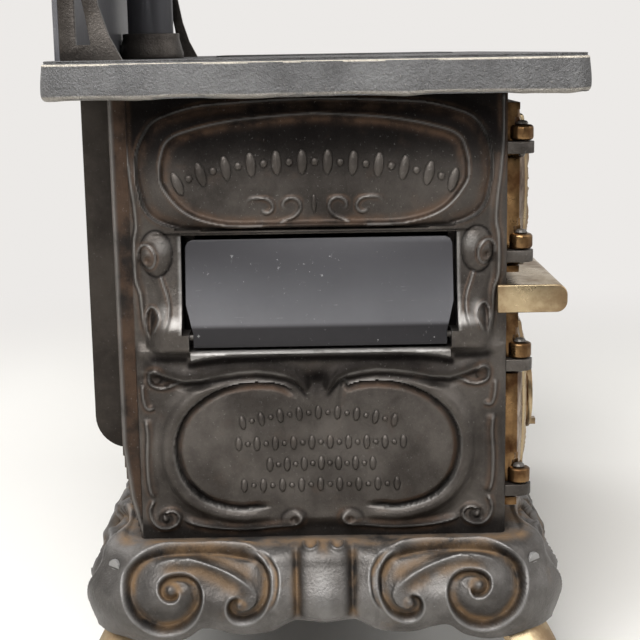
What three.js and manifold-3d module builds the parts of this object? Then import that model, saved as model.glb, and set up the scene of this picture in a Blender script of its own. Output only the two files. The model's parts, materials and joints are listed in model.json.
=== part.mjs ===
// A cast iron toy cooking range, in millimetres, with +Z up.
// It stands on z = 0 with the origin below its middle. The fire end faces -X and the doors face -Y.
import * as THREE from 'three';
import { mergeVertices } from 'three/addons/utils/BufferGeometryUtils.js';
import Module from 'manifold-3d';

const wasm = await Module();
wasm.setup();

// Body: four cast plates that stand on the base and carry the cooktop
const bodyHalfLength = 199;
const bodyHalfDepth = 84;
const baseTop = 92;
const plateWall = 4;
const cooktopTop = 310;
const cooktopPlate = 5;

// Fits
const seatGap = 0.3;
const turnGap = 0.35;
const cutOverrun = 2;

// Base: an ogee skirt whose lower edge rises and falls, with a flange that carries the plates
const baseCornerRadius = 6;
const skirtFlange = 4.5;
const skirtFlangeLip = 5;
const skirtLedge = 13;
const skirtCove = 17.5;
const skirtBelly = 26;
const skirtWall = 5;
const skirtBellyDrop = 23;
const skirtCoveDrop = 6;
const apronFall = 26;
const apronDrop = 16.5;
const endStations = 14;
const frontStations = 22;
const cornerStations = 4;
const cornerLineShares = [0.85, 0.6, 0];
const endLineShares = [[0, 0.96], [0.06, 1], [0.2, 0.85], [0.35, 0.54], [0.51, 0.73], [0.63, 0.64],
  [0.83, 0.3], [1, 0.45]];
const frontLineShares = [[0, 0.96], [0.025, 1], [0.08, 0.85], [0.14, 0.54], [0.205, 0.73], [0.255, 0.64],
  [0.335, 0.3], [0.4, 0.45], [0.47, 0.3], [0.555, 0.64], [0.67, 0.5], [0.78, 0.8], [0.9, 0.92], [1, 1]];

// Legs: cabriole castings, each held inside a corner of the skirt by one screw
const legCrownReach = 12;
const legFootReach = 50;
const legFootWidth = 20;
const legKneeWidth = 32;
const legThickness = 10;
const legSides = 8;
const legBarSides = 10;
const legSectionShares = [
  // share of the height, of the reach, of the knee's width and of the thickness
  [1, 0, 0.7, 0.8], [0.86, 0.02, 0.85, 1], [0.72, 0.05, 0.92, 1.05], [0.62, 0.09, 0.92, 1.1],
  [0.53, 0.25, 0.96, 1.2], [0.42, 0.5, 0.82, 1.2], [0.3, 0.66, 0.58, 1.05], [0.18, 0.79, 0.46, 0.95],
  [0.09, 0.91, 0.48, 0.95], [0.035, 0.99, 0.6, 1], [0, 1, 0.6, 0.9],
];
const legBoltRadius = 2;
const legBoltHeadRadius = 4;
const legBoltHeadHeight = 2;
const legBoltDrop = 10;
const legBoltDepth = 7;
const legBoltSlot = 0.9;

// End panels, with the fuel hopper on the fire end
const panelStrip = 7.5;
const panelStripRise = 45;
const panelStripShares = [[0.45, 0.18], [0.85, 0.55], [1, 1]];
const hopperSetIn = 22.5;
const hopperHeadDrop = 72;
const hopperOpening = 49;
const cheekWidth = 14;
const cheekReach = 11;
const cheekHead = 5;
const hopperLugRise = 5.5;
const hopperLugDrop = 10.5;
const hopperLugInset = 3;
const sillDrop = 2.5;
const sillRoot = 16.5;
const cheekLineShares = [[1, 0], [0.66, 0.27], [0.34, 0.42], [0.12, 0.66], [0, 1]];
const sillLineShares = [[0.6, 0], [1, 0.15], [1, 0.27], [0.55, 0.6], [0.2, 0.82], [0, 1]];

// Hopper flap: sheet steel, bent along its lower part and curled round a rod
const flapSheet = 1.5;
const flapGap = 2;
const flapPivotRise = 3.5;
const flapPivotReach = 6;
const flapRodRadius = 1.5;
const flapRodSeat = 6;
const flapCurl = 1.2;
const flapBendRise = 5.5;
const flapBendReach = 9.8;
const flapLipDrop = 4;
const flapLipBack = 1;
const flapEdgeReach = 1;
const flapSlantRise = 15.5;
const flapSlantInset = 3;
const flapCorner = 3;

// Front casting: openings, hinge lugs
const doorOverlap = 4;
const fireColumnSetIn = 6;
const fireColumnWidth = 103;
const doorFoot = 11;
const fireDoorHead = 16;
const fireDoorHeight = 76;
const ovenDoorGap = 28;
const ovenDoorSetIn = 53;
const ovenDoorHead = 29;
const hingeReach = 7.2;
const lugThickness = 5.3;
const lugRadius = 5.5;
const fireLugShares = [0.1026, 0.7408];
const ashLugShares = [0.0945, 0.745];
const ovenLugShares = [0.1071, 0.8571];
const latchSetIn = 16;
const latchOpeningRim = 10;

// Doors: pillowed shells with a deep rim and two hinge eyes
const doorRim = 6;
const doorBulge = 7;
const doorWall = 3;
const eyeHeight = 7;
const eyeRadius = 5.2;
const pinRadius = 1.6;
const pinHeadRadius = 2.9;
const pinHeadHeight = 1.8;
const pinTip = 1.6;
const pinSides = 12;
const pinTipShare = 0.7;
const pinHeadShares = [[1, 0], [0.75, 0.7], [0, 1]];
const doorColumns = 10;
const doorRows = 8;

// Turning latches
const knobRadius = 7;
const knobLength = 11;
const knobSides = 16;
const knobShares = [[0.45, 0.1], [0.4, 0.35], [0.85, 0.55], [1, 0.75], [0.75, 0.95], [0, 1]];
const spindleRadius = 1.9;
const tailLength = 12;
const tailWidth = 4;
const tailThickness = 2;

// Air inlet on the ash door: a slotted disc that turns on a rivet
const draftRadius = 19;
const draftBossHeight = 1.5;
const draftDiscThickness = 2;
const draftHoleRadius = 3.4;
const draftHoleCircle = 11.5;
const draftHoles = 5;
const draftRivetRadius = 1.8;
const draftTabLength = 4;
const draftTabWidth = 4;

// Nickel shelf between the two small doors
const frontShelfHeight = 12.7;
const frontShelfFoot = 2;
const frontShelfHead = 4.3;
const frontShelfReach = 27;
const frontShelfNose = 5;
const frontShelfEnd = 4;
const frontShelfHook = 4.5;
const frontShelfWall = 3;

// Fire box and grate
const boxWall = 3;
const fireBoxSetIn = 12;
const fireBoxSideGap = 2;
const fireBoxRearGap = 18;
const grateRise = 14;
const grateThickness = 4;
const grateLedge = 5;
const grateBar = 4;
const grateBars = 9;
const fireBoxHeadGap = 9;

// Oven box
const ovenFlange = 3;
const ovenRearGap = 28;
const ovenWall = 2;

// Flue casing behind the body
const flueSetIn = 40;
const flueDepth = 26;
const flueFoot = 32;
const flueRound = 16;
const flueWall = 3;
const flueOpeningHalfLength = 60;
const flueOpeningHeight = 40;
const flueOpeningHead = 10;

// Cooktop with two pairs of lids
const cooktopEndReach = 16;
const cooktopFrontReach = 34;
const rimHeight = 16;
const rimWall = 6;
const rimStep = 1.5;
const rimStepInset = 1.2;
const cooktopCorner = 9;
const lidFrontRim = 16;
const lidPipeGap = 22;
const lidGap = 6;
const lidSetIn = 75;
const lidPitch = 116;
const lidStep = 3;
const lidFaceThickness = 2.2;
const lidBodyThickness = 4.2;
const lidSides = 28;
const lidPocketLength = 11;
const lidPocketWidth = 5;
const lidPocketDepth = 1.4;
const neckHalfWidth = 20;
const coverGap = 32;
const coverEndRim = 25;
const coverSideRim = 44;
const coverShift = 12;
const coverRaise = 0.8;

// Stovepipe on its collar, with a turning damper
const pipeRadius = 13;
const pipeWall = 1.5;
const pipeSetBack = 10;
const pipeRise = 75;
const pipeBead = 1.2;
const collarRadius = 18.5;
const collarHeight = 14;
const collarWall = 3;
const damperRise = 42;
const damperThickness = 1.2;
const damperSpindle = 1.3;
const damperHandleLength = 15;
const damperHandleRadius = 3.5;
const roundSides = 20;

// High shelf, brackets and splash back
const bracketDepth = 27;
const bracketWall = 4;
const bracketEndRim = 15;
const shelfRise = 190;
const shelfThickness = 3;
const shelfReach = 62;
const shelfEndReach = 6;
const shelfLip = 9;
const splashThickness = 2.4;
const bracketStrap = 7;
const bracketLineShares = [[-1.7, 0.95], [-1.2, 0.94], [-0.46, 0.92], [0.3, 0.8], [0.5, 0.55], [0.62, 0.35],
  [0.55, 0.12]];
const bracketWindowShares = [[-0.57, 1], [0.2, 0.88], [0.5, 0.78], [1, 0.58]];
const bracketEyeShares = [[1, 0.22], [0.62, 0.16], [0.5, 0]];
const shelfCorner = 14;

// Tie rods
const tieRodRadius = 1.7;
const tieRodNutRadius = 3.6;
const tieRodNutHeight = 4;
const tieRodSetIn = 3.8;

// Places that follow from the sizes above
const plateTop = cooktopTop - cooktopPlate;
const endInner = bodyHalfLength - plateWall;
const frontInner = bodyHalfDepth - plateWall;
const floorTop = baseTop + plateWall;
const skirtBellyHeight = baseTop - skirtBellyDrop;
const skirtCoveHeight = baseTop - skirtCoveDrop;
const apronHigh = baseTop - apronFall;
const legCrown = baseTop - skirtFlange - seatGap;
const legBoltHeight = baseTop - legBoltDrop;
const cooktopHalfLength = bodyHalfLength + cooktopEndReach;
const cooktopHalfDepth = bodyHalfDepth + cooktopFrontReach;
const panelRearEdge = bodyHalfDepth + panelStrip;
const hopperHalfWidth = bodyHalfDepth - hopperSetIn;
const hopperHead = plateTop - hopperHeadDrop;
const hopperBottom = hopperHead - hopperOpening;
const fireColumnLeft = -bodyHalfLength + fireColumnSetIn;
const fireColumnRight = fireColumnLeft + fireColumnWidth;
const fireDoorTop = plateTop - fireDoorHead;
const fireDoorBottom = fireDoorTop - fireDoorHeight;
const frontShelfTop = fireDoorBottom - frontShelfHead;
const frontShelfBottom = frontShelfTop - frontShelfHeight;
const ashDoorBottom = baseTop + doorFoot;
const ashDoorTop = frontShelfBottom - frontShelfFoot;
const ovenDoorLeft = fireColumnRight + ovenDoorGap;
const ovenDoorRight = bodyHalfLength - ovenDoorSetIn;
const ovenDoorBottom = baseTop + doorFoot;
const ovenDoorTop = plateTop - ovenDoorHead;
const pinY = -bodyHalfDepth - hingeReach;
const alongDoor = (low, high, shares) => shares.map((share) => low + share * (high - low));
const fireLugHeights = alongDoor(fireDoorBottom, fireDoorTop, fireLugShares);
const ashLugHeights = alongDoor(ashDoorBottom, ashDoorTop, ashLugShares);
const ovenLugHeights = alongDoor(ovenDoorBottom, ovenDoorTop, ovenLugShares);
const pipeBack = bodyHalfDepth + pipeSetBack;
const shelfHeight = cooktopTop + shelfRise;
const pipeTop = shelfHeight + pipeRise;
const damperHeight = cooktopTop + damperRise;
const bracketRear = bodyHalfDepth + bracketDepth;
const bracketOut = cooktopHalfLength - bracketEndRim;
const shelfFront = bodyHalfDepth - shelfReach;
const shelfHalfLength = bracketOut + shelfEndReach;
const lidRadius = (cooktopHalfDepth + pipeBack - lidFrontRim - lidPipeGap - lidGap) / 4;
const lidFront = -cooktopHalfDepth + lidFrontRim + lidRadius;
const lidRear = lidFront + 2 * lidRadius + lidGap;
const lidColumns = [-bodyHalfLength + lidSetIn, -bodyHalfLength + lidSetIn + lidPitch];

// Colours, roughness and metalness of the finishes
const castIron = () => new THREE.MeshStandardMaterial({ color: 0x3a3836, roughness: 0.62, metalness: 0.6 });
const wornIron = () => new THREE.MeshStandardMaterial({ color: 0x5a5a5c, roughness: 0.55, metalness: 0.7 });
const nickel = () => new THREE.MeshStandardMaterial({ color: 0xa8977a, roughness: 0.35, metalness: 0.95 });
const sheetSteel = () => new THREE.MeshStandardMaterial({ color: 0x585a60, roughness: 0.45, metalness: 0.8 });
const darkSteel = () => new THREE.MeshStandardMaterial({ color: 0x2c2a2a, roughness: 0.6, metalness: 0.7 });

// Shapes are drawn flat and pushed along one axis, so that faces lie exactly on named planes.
function prism(shape, segments, place) {
  const geometry = new THREE.ExtrudeGeometry(shape, { depth: 1, steps: 1, bevelEnabled: false,
    curveSegments: segments });
  const points = geometry.attributes.position;
  for (let i = 0; i < points.count; i += 1) {
    const [x, y, z] = place(points.getX(i), points.getY(i), points.getZ(i) > 0.5);
    points.setXYZ(i, x, y, z);
  }
  return geometry;
}

// The shape is drawn in X and Y.
function prismZ(shape, low, high, segments = 8) {
  return prism(shape, segments, (u, v, far) => [u, v, far ? high : low]);
}

// The shape is drawn in Y and Z.
function prismX(shape, low, high, segments = 8) {
  return prism(shape, segments, (u, v, far) => [far ? high : low, u, v]);
}

// The shape is drawn in X and Z.
function prismY(shape, low, high, segments = 8) {
  return prism(shape, segments, (u, v, far) => [u, far ? low : high, v]);
}

function outline(points) {
  return new THREE.Shape(points.map(([u, v]) => new THREE.Vector2(u, v)));
}

function disc(u, v, radius) {
  const shape = new THREE.Shape();
  shape.absarc(u, v, radius, 0, 2 * Math.PI, false);
  return shape;
}

function roundedRectangle(left, right, low, high, radius) {
  const shape = new THREE.Shape();
  shape.moveTo(left + radius, low);
  shape.absarc(right - radius, low + radius, radius, -Math.PI / 2, 0, false);
  shape.absarc(right - radius, high - radius, radius, 0, Math.PI / 2, false);
  shape.absarc(left + radius, high - radius, radius, Math.PI / 2, Math.PI, false);
  shape.absarc(left + radius, low + radius, radius, Math.PI, 1.5 * Math.PI, false);
  return shape;
}

function block(low, high) {
  const geometry = new THREE.BoxGeometry(1, 1, 1);
  const points = geometry.attributes.position;
  for (let i = 0; i < points.count; i += 1) {
    const corner = [points.getX(i), points.getY(i), points.getZ(i)];
    points.setXYZ(i, ...corner.map((side, axis) => (side > 0 ? high[axis] : low[axis])));
  }
  return geometry;
}

// A turned shape: the profile holds radius and height, and closes on itself or on the axis.
function turned(profile, sides = roundSides) {
  const points = profile.map(([radius, height]) => new THREE.Vector2(radius, height));
  return new THREE.LatheGeometry(points, sides).rotateX(Math.PI / 2);
}

function positionsOnly(geometry) {
  const bare = geometry.clone();
  bare.deleteAttribute('normal');
  bare.deleteAttribute('uv');
  bare.clearGroups();
  return mergeVertices(bare);
}

function solid(geometry) {
  const merged = positionsOnly(geometry);
  return new wasm.Manifold(new wasm.Mesh({ numProp: 3,
    vertProperties: new Float32Array(merged.attributes.position.array),
    triVerts: new Uint32Array(merged.index.array) }));
}

function surface(manifold) {
  const mesh = manifold.getMesh();
  const geometry = new THREE.BufferGeometry();
  const points = new Float32Array(mesh.numVert * 3);
  for (let i = 0; i < mesh.numVert; i += 1) {
    for (let axis = 0; axis < 3; axis += 1) {
      points[3 * i + axis] = mesh.vertProperties[mesh.numProp * i + axis];
    }
  }
  geometry.setAttribute('position', new THREE.BufferAttribute(points, 3));
  geometry.setIndex(Array.from(mesh.triVerts));
  return geometry;
}

function joined(...pieces) {
  return surface(pieces.map(solid).reduce((whole, piece) => whole.add(piece)));
}

function cutAway(body, ...tools) {
  return surface(tools.map(solid).reduce((whole, tool) => whole.subtract(tool), solid(body)));
}

const stove = new THREE.Group();

function addPiece(name, geometry, material) {
  const bare = positionsOnly(geometry);
  bare.computeVertexNormals();
  const mesh = new THREE.Mesh(bare, material);
  mesh.name = name;
  stove.add(mesh);
}

// A curve through points [share, value], read at any share between them.
function readLine(line, share) {
  const next = Math.max(1, line.findIndex(([place]) => place >= share));
  const [from, low] = line[next - 1];
  const [to, high] = line[next];
  const part = (share - from) / (to - from);
  const eased = part * part * (3 - 2 * part);
  return low + (high - low) * eased;
}

// Base: stations go round the stove, and each carries the same closed profile.
function baseStations() {
  const stations = [];
  const cornerX = bodyHalfLength - baseCornerRadius;
  const cornerY = bodyHalfDepth - baseCornerRadius;
  const quarter = Math.PI / 2;
  for (let corner = 0; corner < 4; corner += 1) {
    const signX = corner === 0 || corner === 3 ? 1 : -1;
    const signY = corner < 2 ? 1 : -1;
    for (let i = 0; i <= cornerStations; i += 1) {
      const angle = quarter * (corner + i / cornerStations);
      const fromMiddle = Math.abs(2 * i / cornerStations - 1);
      const drop = readLine([[0, cornerLineShares[2]], [0.5, cornerLineShares[1]], [1, endLineShares[0][1]]],
        fromMiddle);
      stations.push({ x: signX * cornerX, y: signY * cornerY, angle, drop });
    }
    const alongX = corner % 2 === 0;
    const half = alongX ? cornerX : cornerY;
    const line = alongX ? frontLineShares : endLineShares;
    const steps = alongX ? frontStations : endStations;
    for (let i = 1; i < steps; i += 1) {
      const along = 1 - 2 * i / steps;
      const drop = readLine(line, 1 - Math.abs(along));
      const x = alongX ? signX * half * along : signX * cornerX;
      const y = alongX ? signY * cornerY : signY * half * along;
      stations.push({ x, y, angle: quarter * (corner + 1), drop });
    }
  }
  return stations;
}

function skirtProfile(drop) {
  const bottom = apronHigh - drop * apronDrop;
  const flangeUnder = baseTop - skirtFlange;
  const belowBelly = (share) => bottom + share * (skirtBellyHeight - bottom);
  const coveToBelly = skirtBelly - skirtCove;
  const ledgeRound = skirtCove - skirtLedge;
  return [
    [-skirtFlangeLip, baseTop],
    [-skirtFlangeLip, flangeUnder],
    [skirtCove - skirtWall, flangeUnder],
    [skirtCove - skirtWall + coveToBelly / 4, (skirtCoveHeight + skirtBellyHeight) / 2],
    [skirtBelly - skirtWall, skirtBellyHeight],
    [skirtBelly - skirtWall, belowBelly(0.5)],
    [skirtBelly - skirtWall - 1 / 4 * coveToBelly, bottom],
    [skirtBelly - coveToBelly / 2, bottom],
    [skirtBelly - coveToBelly / 8, belowBelly(0.45)],
    [skirtBelly, skirtBellyHeight],
    [skirtBelly - coveToBelly / 5, (skirtCoveHeight + 2 * skirtBellyHeight) / 3],
    [skirtCove + coveToBelly / 4, (2 * skirtCoveHeight + skirtBellyHeight) / 3],
    [skirtCove, skirtCoveHeight],
    [skirtCove - ledgeRound / 5, baseTop - (baseTop - skirtCoveHeight) / 4],
    [skirtLedge, baseTop],
  ];
}

function makeBase() {
  const stations = baseStations();
  const rings = stations.map(({ x, y, angle, drop }) => skirtProfile(drop).map(([offset, height]) => {
    const reach = baseCornerRadius + offset;
    return [x + reach * Math.cos(angle), y + reach * Math.sin(angle), height];
  }));
  return ringSurface(rings, true);
}

// Joins rings of points. A closed run joins the last ring to the first, and an open one is capped.
function ringSurface(rings, closed) {
  const count = rings[0].length;
  const points = rings.flat(2);
  const index = [];
  const runs = closed ? rings.length : rings.length - 1;
  for (let i = 0; i < runs; i += 1) {
    for (let j = 0; j < count; j += 1) {
      const a = i * count + j;
      const b = i * count + (j + 1) % count;
      const c = ((i + 1) % rings.length) * count + (j + 1) % count;
      const d = ((i + 1) % rings.length) * count + j;
      index.push(a, d, b, b, d, c);
    }
  }
  if (!closed) {
    const last = (rings.length - 1) * count;
    for (let j = 1; j < count - 1; j += 1) {
      index.push(0, j, j + 1, last, last + j + 1, last + j);
    }
  }
  const geometry = new THREE.BufferGeometry();
  geometry.setAttribute('position', new THREE.BufferAttribute(new Float32Array(points), 3));
  geometry.setIndex(index);
  return outward(geometry);
}

// Turns a closed surface the right way out.
function outward(geometry) {
  const points = geometry.attributes.position;
  const index = geometry.index.array;
  const [a, b, c] = [new THREE.Vector3(), new THREE.Vector3(), new THREE.Vector3()];
  let volume = 0;
  for (let i = 0; i < index.length; i += 3) {
    a.fromBufferAttribute(points, index[i]);
    b.fromBufferAttribute(points, index[i + 1]);
    c.fromBufferAttribute(points, index[i + 2]);
    volume += a.dot(b.cross(c));
  }
  if (volume < 0) {
    const flipped = Array.from(index);
    for (let i = 0; i < flipped.length; i += 3) {
      [flipped[i + 1], flipped[i + 2]] = [flipped[i + 2], flipped[i + 1]];
    }
    geometry.setIndex(flipped);
  }
  return geometry;
}

// Legs stand on the diagonals of the corners, where reach is measured from the corner's centre.
function cornerPlace(signX, signY) {
  const diagonal = Math.SQRT1_2;
  return {
    x: signX * (bodyHalfLength - baseCornerRadius),
    y: signY * (bodyHalfDepth - baseCornerRadius),
    outX: signX * diagonal,
    outY: signY * diagonal,
  };
}

function makeLeg(signX, signY) {
  const { x, y, outX, outY } = cornerPlace(signX, signY);
  const rings = legSectionShares.map(([heightShare, reachShare, widthShare, thickShare]) => {
    const reach = legCrownReach + reachShare * (legFootReach - legCrownReach);
    const halfWidth = heightShare === 0 ? legFootWidth / 2 : legKneeWidth / 2 * widthShare;
    const halfThickness = legThickness / 2 * thickShare;
    const ring = [];
    for (let i = 0; i < legSides; i += 1) {
      const angle = 2 * Math.PI * (i + 0.5) / legSides;
      const out = reach + halfThickness * Math.cos(angle);
      const across = halfWidth * Math.sin(angle);
      ring.push([x + outX * out - outY * across, y + outY * out + outX * across, heightShare * legCrown]);
    }
    return ring;
  });
  return ringSurface(rings, false);
}

// A round bar that lies level along a corner's diagonal, from one reach to another.
function diagonalBar(signX, signY, from, to, radius, height) {
  const { x, y, outX, outY } = cornerPlace(signX, signY);
  const rings = [from, to].map((reach) => {
    const ring = [];
    for (let i = 0; i < legBarSides; i += 1) {
      const angle = 2 * Math.PI * i / legBarSides;
      const across = radius * Math.cos(angle);
      ring.push([x + outX * reach - outY * across, y + outY * reach + outX * across,
        height + radius * Math.sin(angle)]);
    }
    return ring;
  });
  return ringSurface(rings, false);
}

const boltSeat = baseCornerRadius + skirtCove;
const boltEnd = boltSeat - legBoltDepth - skirtWall;
const boltHeadSeat = boltSeat + seatGap;

let base = makeBase();
const corners = [['front_left', -1, -1], ['front_right', 1, -1], ['rear_left', -1, 1], ['rear_right', 1, 1]];
for (const [place, signX, signY] of corners) {
  base = cutAway(base,
    diagonalBar(signX, signY, boltEnd, boltSeat + skirtWall, legBoltRadius + seatGap, legBoltHeight),
    diagonalBar(signX, signY, boltSeat, boltSeat + 2 * skirtWall, legBoltHeadRadius + seatGap,
      legBoltHeight));
  const leg = cutAway(makeLeg(signX, signY),
    diagonalBar(signX, signY, boltEnd - seatGap, boltSeat, legBoltRadius + seatGap, legBoltHeight));
  addPiece(`leg_${place}`, leg, nickel());
  const bolt = joined(
    diagonalBar(signX, signY, boltEnd, boltHeadSeat + legBoltHeadHeight / 2, legBoltRadius, legBoltHeight),
    diagonalBar(signX, signY, boltHeadSeat, boltHeadSeat + legBoltHeadHeight, legBoltHeadRadius,
      legBoltHeight));
  const slotDepth = boltHeadSeat + legBoltHeadHeight / 2;
  const { x, y, outX, outY } = cornerPlace(signX, signY);
  const slotRing = (reach) => [[-1, -1], [1, -1], [1, 1], [-1, 1]].map(([side, up]) => {
    const across = side * legBoltHeadRadius * 2;
    return [x + outX * reach - outY * across, y + outY * reach + outX * across,
      legBoltHeight + up * legBoltSlot / 2];
  });
  const slot = ringSurface([slotRing(slotDepth), slotRing(slotDepth + 2 * legBoltHeadHeight)], false);
  addPiece(`leg_bolt_${place}`, cutAway(bolt, slot), nickel());
}
addPiece('base_frame', base, castIron());

// Bottom plate, inside the four upright plates
addPiece('bottom_plate', block([-endInner, -frontInner, baseTop], [endInner, frontInner, floorTop]),
  castIron());

// End panels: a rounded strip stands out behind the rear corner.
function panelOutline() {
  return outline([
    [-bodyHalfDepth, baseTop],
    [bodyHalfDepth, baseTop],
    ...panelStripShares.map(([out, up]) => [bodyHalfDepth + out * panelStrip, baseTop + up * panelStripRise]),
    [panelRearEdge, plateTop],
    [-bodyHalfDepth, plateTop],
  ]);
}

// The cheeks sweep out into lugs at the hopper's foot, and the sill runs between them.
const panelOut = -bodyHalfLength;
const cheekTop = hopperHead + cheekHead;
const lugHead = hopperBottom + hopperLugRise;
const lugFoot = hopperBottom - hopperLugDrop;
const sillTop = hopperBottom - sillDrop;
const sillUnder = sillTop - sillRoot;
const cheekOut = panelOut - cheekReach;
const cheekShape = outline([
  [panelOut + plateWall / 2, cheekTop],
  ...cheekLineShares.map(([up, out]) => [panelOut - out * cheekReach, lugHead + up * (cheekTop - lugHead)]),
  [cheekOut, lugFoot], [panelOut - cheekReach / 2, (lugFoot + sillUnder) / 2],
  [panelOut, sillUnder], [panelOut + plateWall / 2, sillUnder],
]);
const sillShape = outline([
  [panelOut + plateWall / 2, sillTop],
  ...sillLineShares.map(([out, down]) => [panelOut - out * cheekReach, sillTop - down * sillRoot]),
  [panelOut + plateWall / 2, sillUnder],
]);
const cheekOuter = hopperHalfWidth + cheekWidth;
const lugInner = hopperHalfWidth - hopperLugInset;
const flapPivotHeight = hopperBottom + flapPivotRise;
const pivotX = panelOut - flapPivotReach;
const rodHalfLength = hopperHalfWidth + flapRodSeat;
const lugBlock = (from, to) => block([cheekOut, from, lugFoot], [panelOut, to, lugHead]);

const firePanel = cutAway(
  joined(
    cutAway(
      joined(
        prismX(panelOutline(), panelOut, -endInner),
        prismY(cheekShape, hopperHalfWidth, cheekOuter),
        prismY(cheekShape, -cheekOuter, -hopperHalfWidth),
        prismY(sillShape, -cheekOuter + cheekWidth / 2, cheekOuter - cheekWidth / 2)),
      block([panelOut - cutOverrun, -hopperHalfWidth, hopperBottom],
        [-endInner + cutOverrun, hopperHalfWidth, hopperHead])),
    lugBlock(lugInner, hopperHalfWidth + cheekWidth / 2),
    lugBlock(-hopperHalfWidth - cheekWidth / 2, -lugInner)),
  prismY(disc(pivotX, flapPivotHeight, flapRodRadius + seatGap), -rodHalfLength - seatGap,
    rodHalfLength + seatGap, 8));
addPiece('end_panel_fire', firePanel, castIron());
addPiece('end_panel_oven', prismX(panelOutline(), endInner, bodyHalfLength), castIron());
addPiece('feed_flap_rod', prismY(disc(pivotX, flapPivotHeight, flapRodRadius), -rodHalfLength,
  rodHalfLength, 6), darkSteel());

// The flap leans inwards above its bend, and its lip drops in front of the rod. Its lower corners slant.
const curlRadius = flapRodRadius + turnGap + flapCurl;
const flapTopX = panelOut - flapEdgeReach;
const flapTopZ = hopperHead - flapGap;
const flapHalfWidth = hopperHalfWidth - flapGap;
const flapBendX = panelOut - flapBendReach;
const flapBendZ = flapPivotHeight + flapBendRise;
const flapLipZ = flapPivotHeight - flapLipDrop;
const lipHalfWidth = flapHalfWidth - flapSlantInset;
const flapProfile = outline([
  [flapBendX, flapBendZ], [flapBendX + flapLipBack, flapLipZ],
  [flapBendX + flapLipBack + flapSheet, flapLipZ],
  [flapBendX + flapSheet, flapBendZ], [flapTopX + flapSheet, flapTopZ], [flapTopX, flapTopZ],
]);
const flapSlantZ = flapPivotHeight + flapSlantRise;
const flapFace = outline([
  [-lipHalfWidth, flapLipZ - cutOverrun], [lipHalfWidth, flapLipZ - cutOverrun],
  [lipHalfWidth, flapPivotHeight + flapBendRise / 2], [flapHalfWidth, flapSlantZ],
  [flapHalfWidth, flapTopZ - flapCorner], [flapHalfWidth - flapCorner / 3, flapTopZ - flapCorner / 3],
  [flapHalfWidth - flapCorner, flapTopZ], [flapCorner - flapHalfWidth, flapTopZ],
  [flapCorner / 3 - flapHalfWidth, flapTopZ - flapCorner / 3], [-flapHalfWidth, flapTopZ - flapCorner],
  [-flapHalfWidth, flapSlantZ], [-lipHalfWidth, flapPivotHeight + flapBendRise / 2],
]);
const flapSheetBody = surface(solid(prismY(flapProfile, -flapHalfWidth, flapHalfWidth))
  .intersect(solid(prismX(flapFace, flapBendX - cutOverrun, panelOut + flapSheet + cutOverrun))));
addPiece('feed_flap', cutAway(
  joined(flapSheetBody, prismY(disc(pivotX, flapPivotHeight, curlRadius), -lipHalfWidth, lipHalfWidth, 8)),
  prismY(disc(pivotX, flapPivotHeight, flapRodRadius + turnGap), -hopperHalfWidth, hopperHalfWidth, 8)),
sheetSteel());

// Front casting with its openings and hinge lugs
function openingBehind(left, right, low, high, latchLeft) {
  const hingeSide = doorOverlap;
  const latchSide = latchOpeningRim;
  const lowX = left + (latchLeft ? latchSide : hingeSide);
  const highX = right - (latchLeft ? hingeSide : latchSide);
  return { low: [lowX, low + doorOverlap], high: [highX, high - doorOverlap] };
}

const fireOpening = openingBehind(fireColumnLeft, fireColumnRight, fireDoorBottom, fireDoorTop, false);
const ashOpening = openingBehind(fireColumnLeft, fireColumnRight, ashDoorBottom, ashDoorTop, false);
const ovenOpening = openingBehind(ovenDoorLeft, ovenDoorRight, ovenDoorBottom, ovenDoorTop, true);

function openingCut({ low, high }) {
  return block([low[0], -bodyHalfDepth - cutOverrun, low[1]],
    [high[0], -frontInner + cutOverrun, high[1]]);
}

function lug(axisX, height) {
  const low = height - lugThickness / 2;
  const high = height + lugThickness / 2;
  const rootLeft = Math.max(axisX - lugRadius, -endInner);
  return joined(
    block([axisX - lugRadius, pinY, low], [axisX + lugRadius, -bodyHalfDepth, high]),
    block([rootLeft, pinY, low], [axisX + lugRadius, -bodyHalfDepth + plateWall / 2, high]),
    prismZ(disc(axisX, pinY, lugRadius), low, high, 6));
}

const hinges = [
  ...fireLugHeights.map((height) => [fireColumnLeft, height]),
  ...ashLugHeights.map((height) => [fireColumnLeft, height]),
  ...ovenLugHeights.map((height) => [ovenDoorRight, height]),
];
const frontFrame = cutAway(
  joined(block([-endInner, -bodyHalfDepth, baseTop], [endInner, -frontInner, plateTop]),
    ...hinges.map(([axisX, height]) => lug(axisX, height))),
  ...[fireOpening, ashOpening, ovenOpening].map(openingCut),
  ...hinges.map(([axisX, height]) => prismZ(disc(axisX, pinY, pinRadius + seatGap),
    height - lugThickness, height + lugThickness, 6)));
addPiece('front_frame', frontFrame, castIron());

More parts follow.
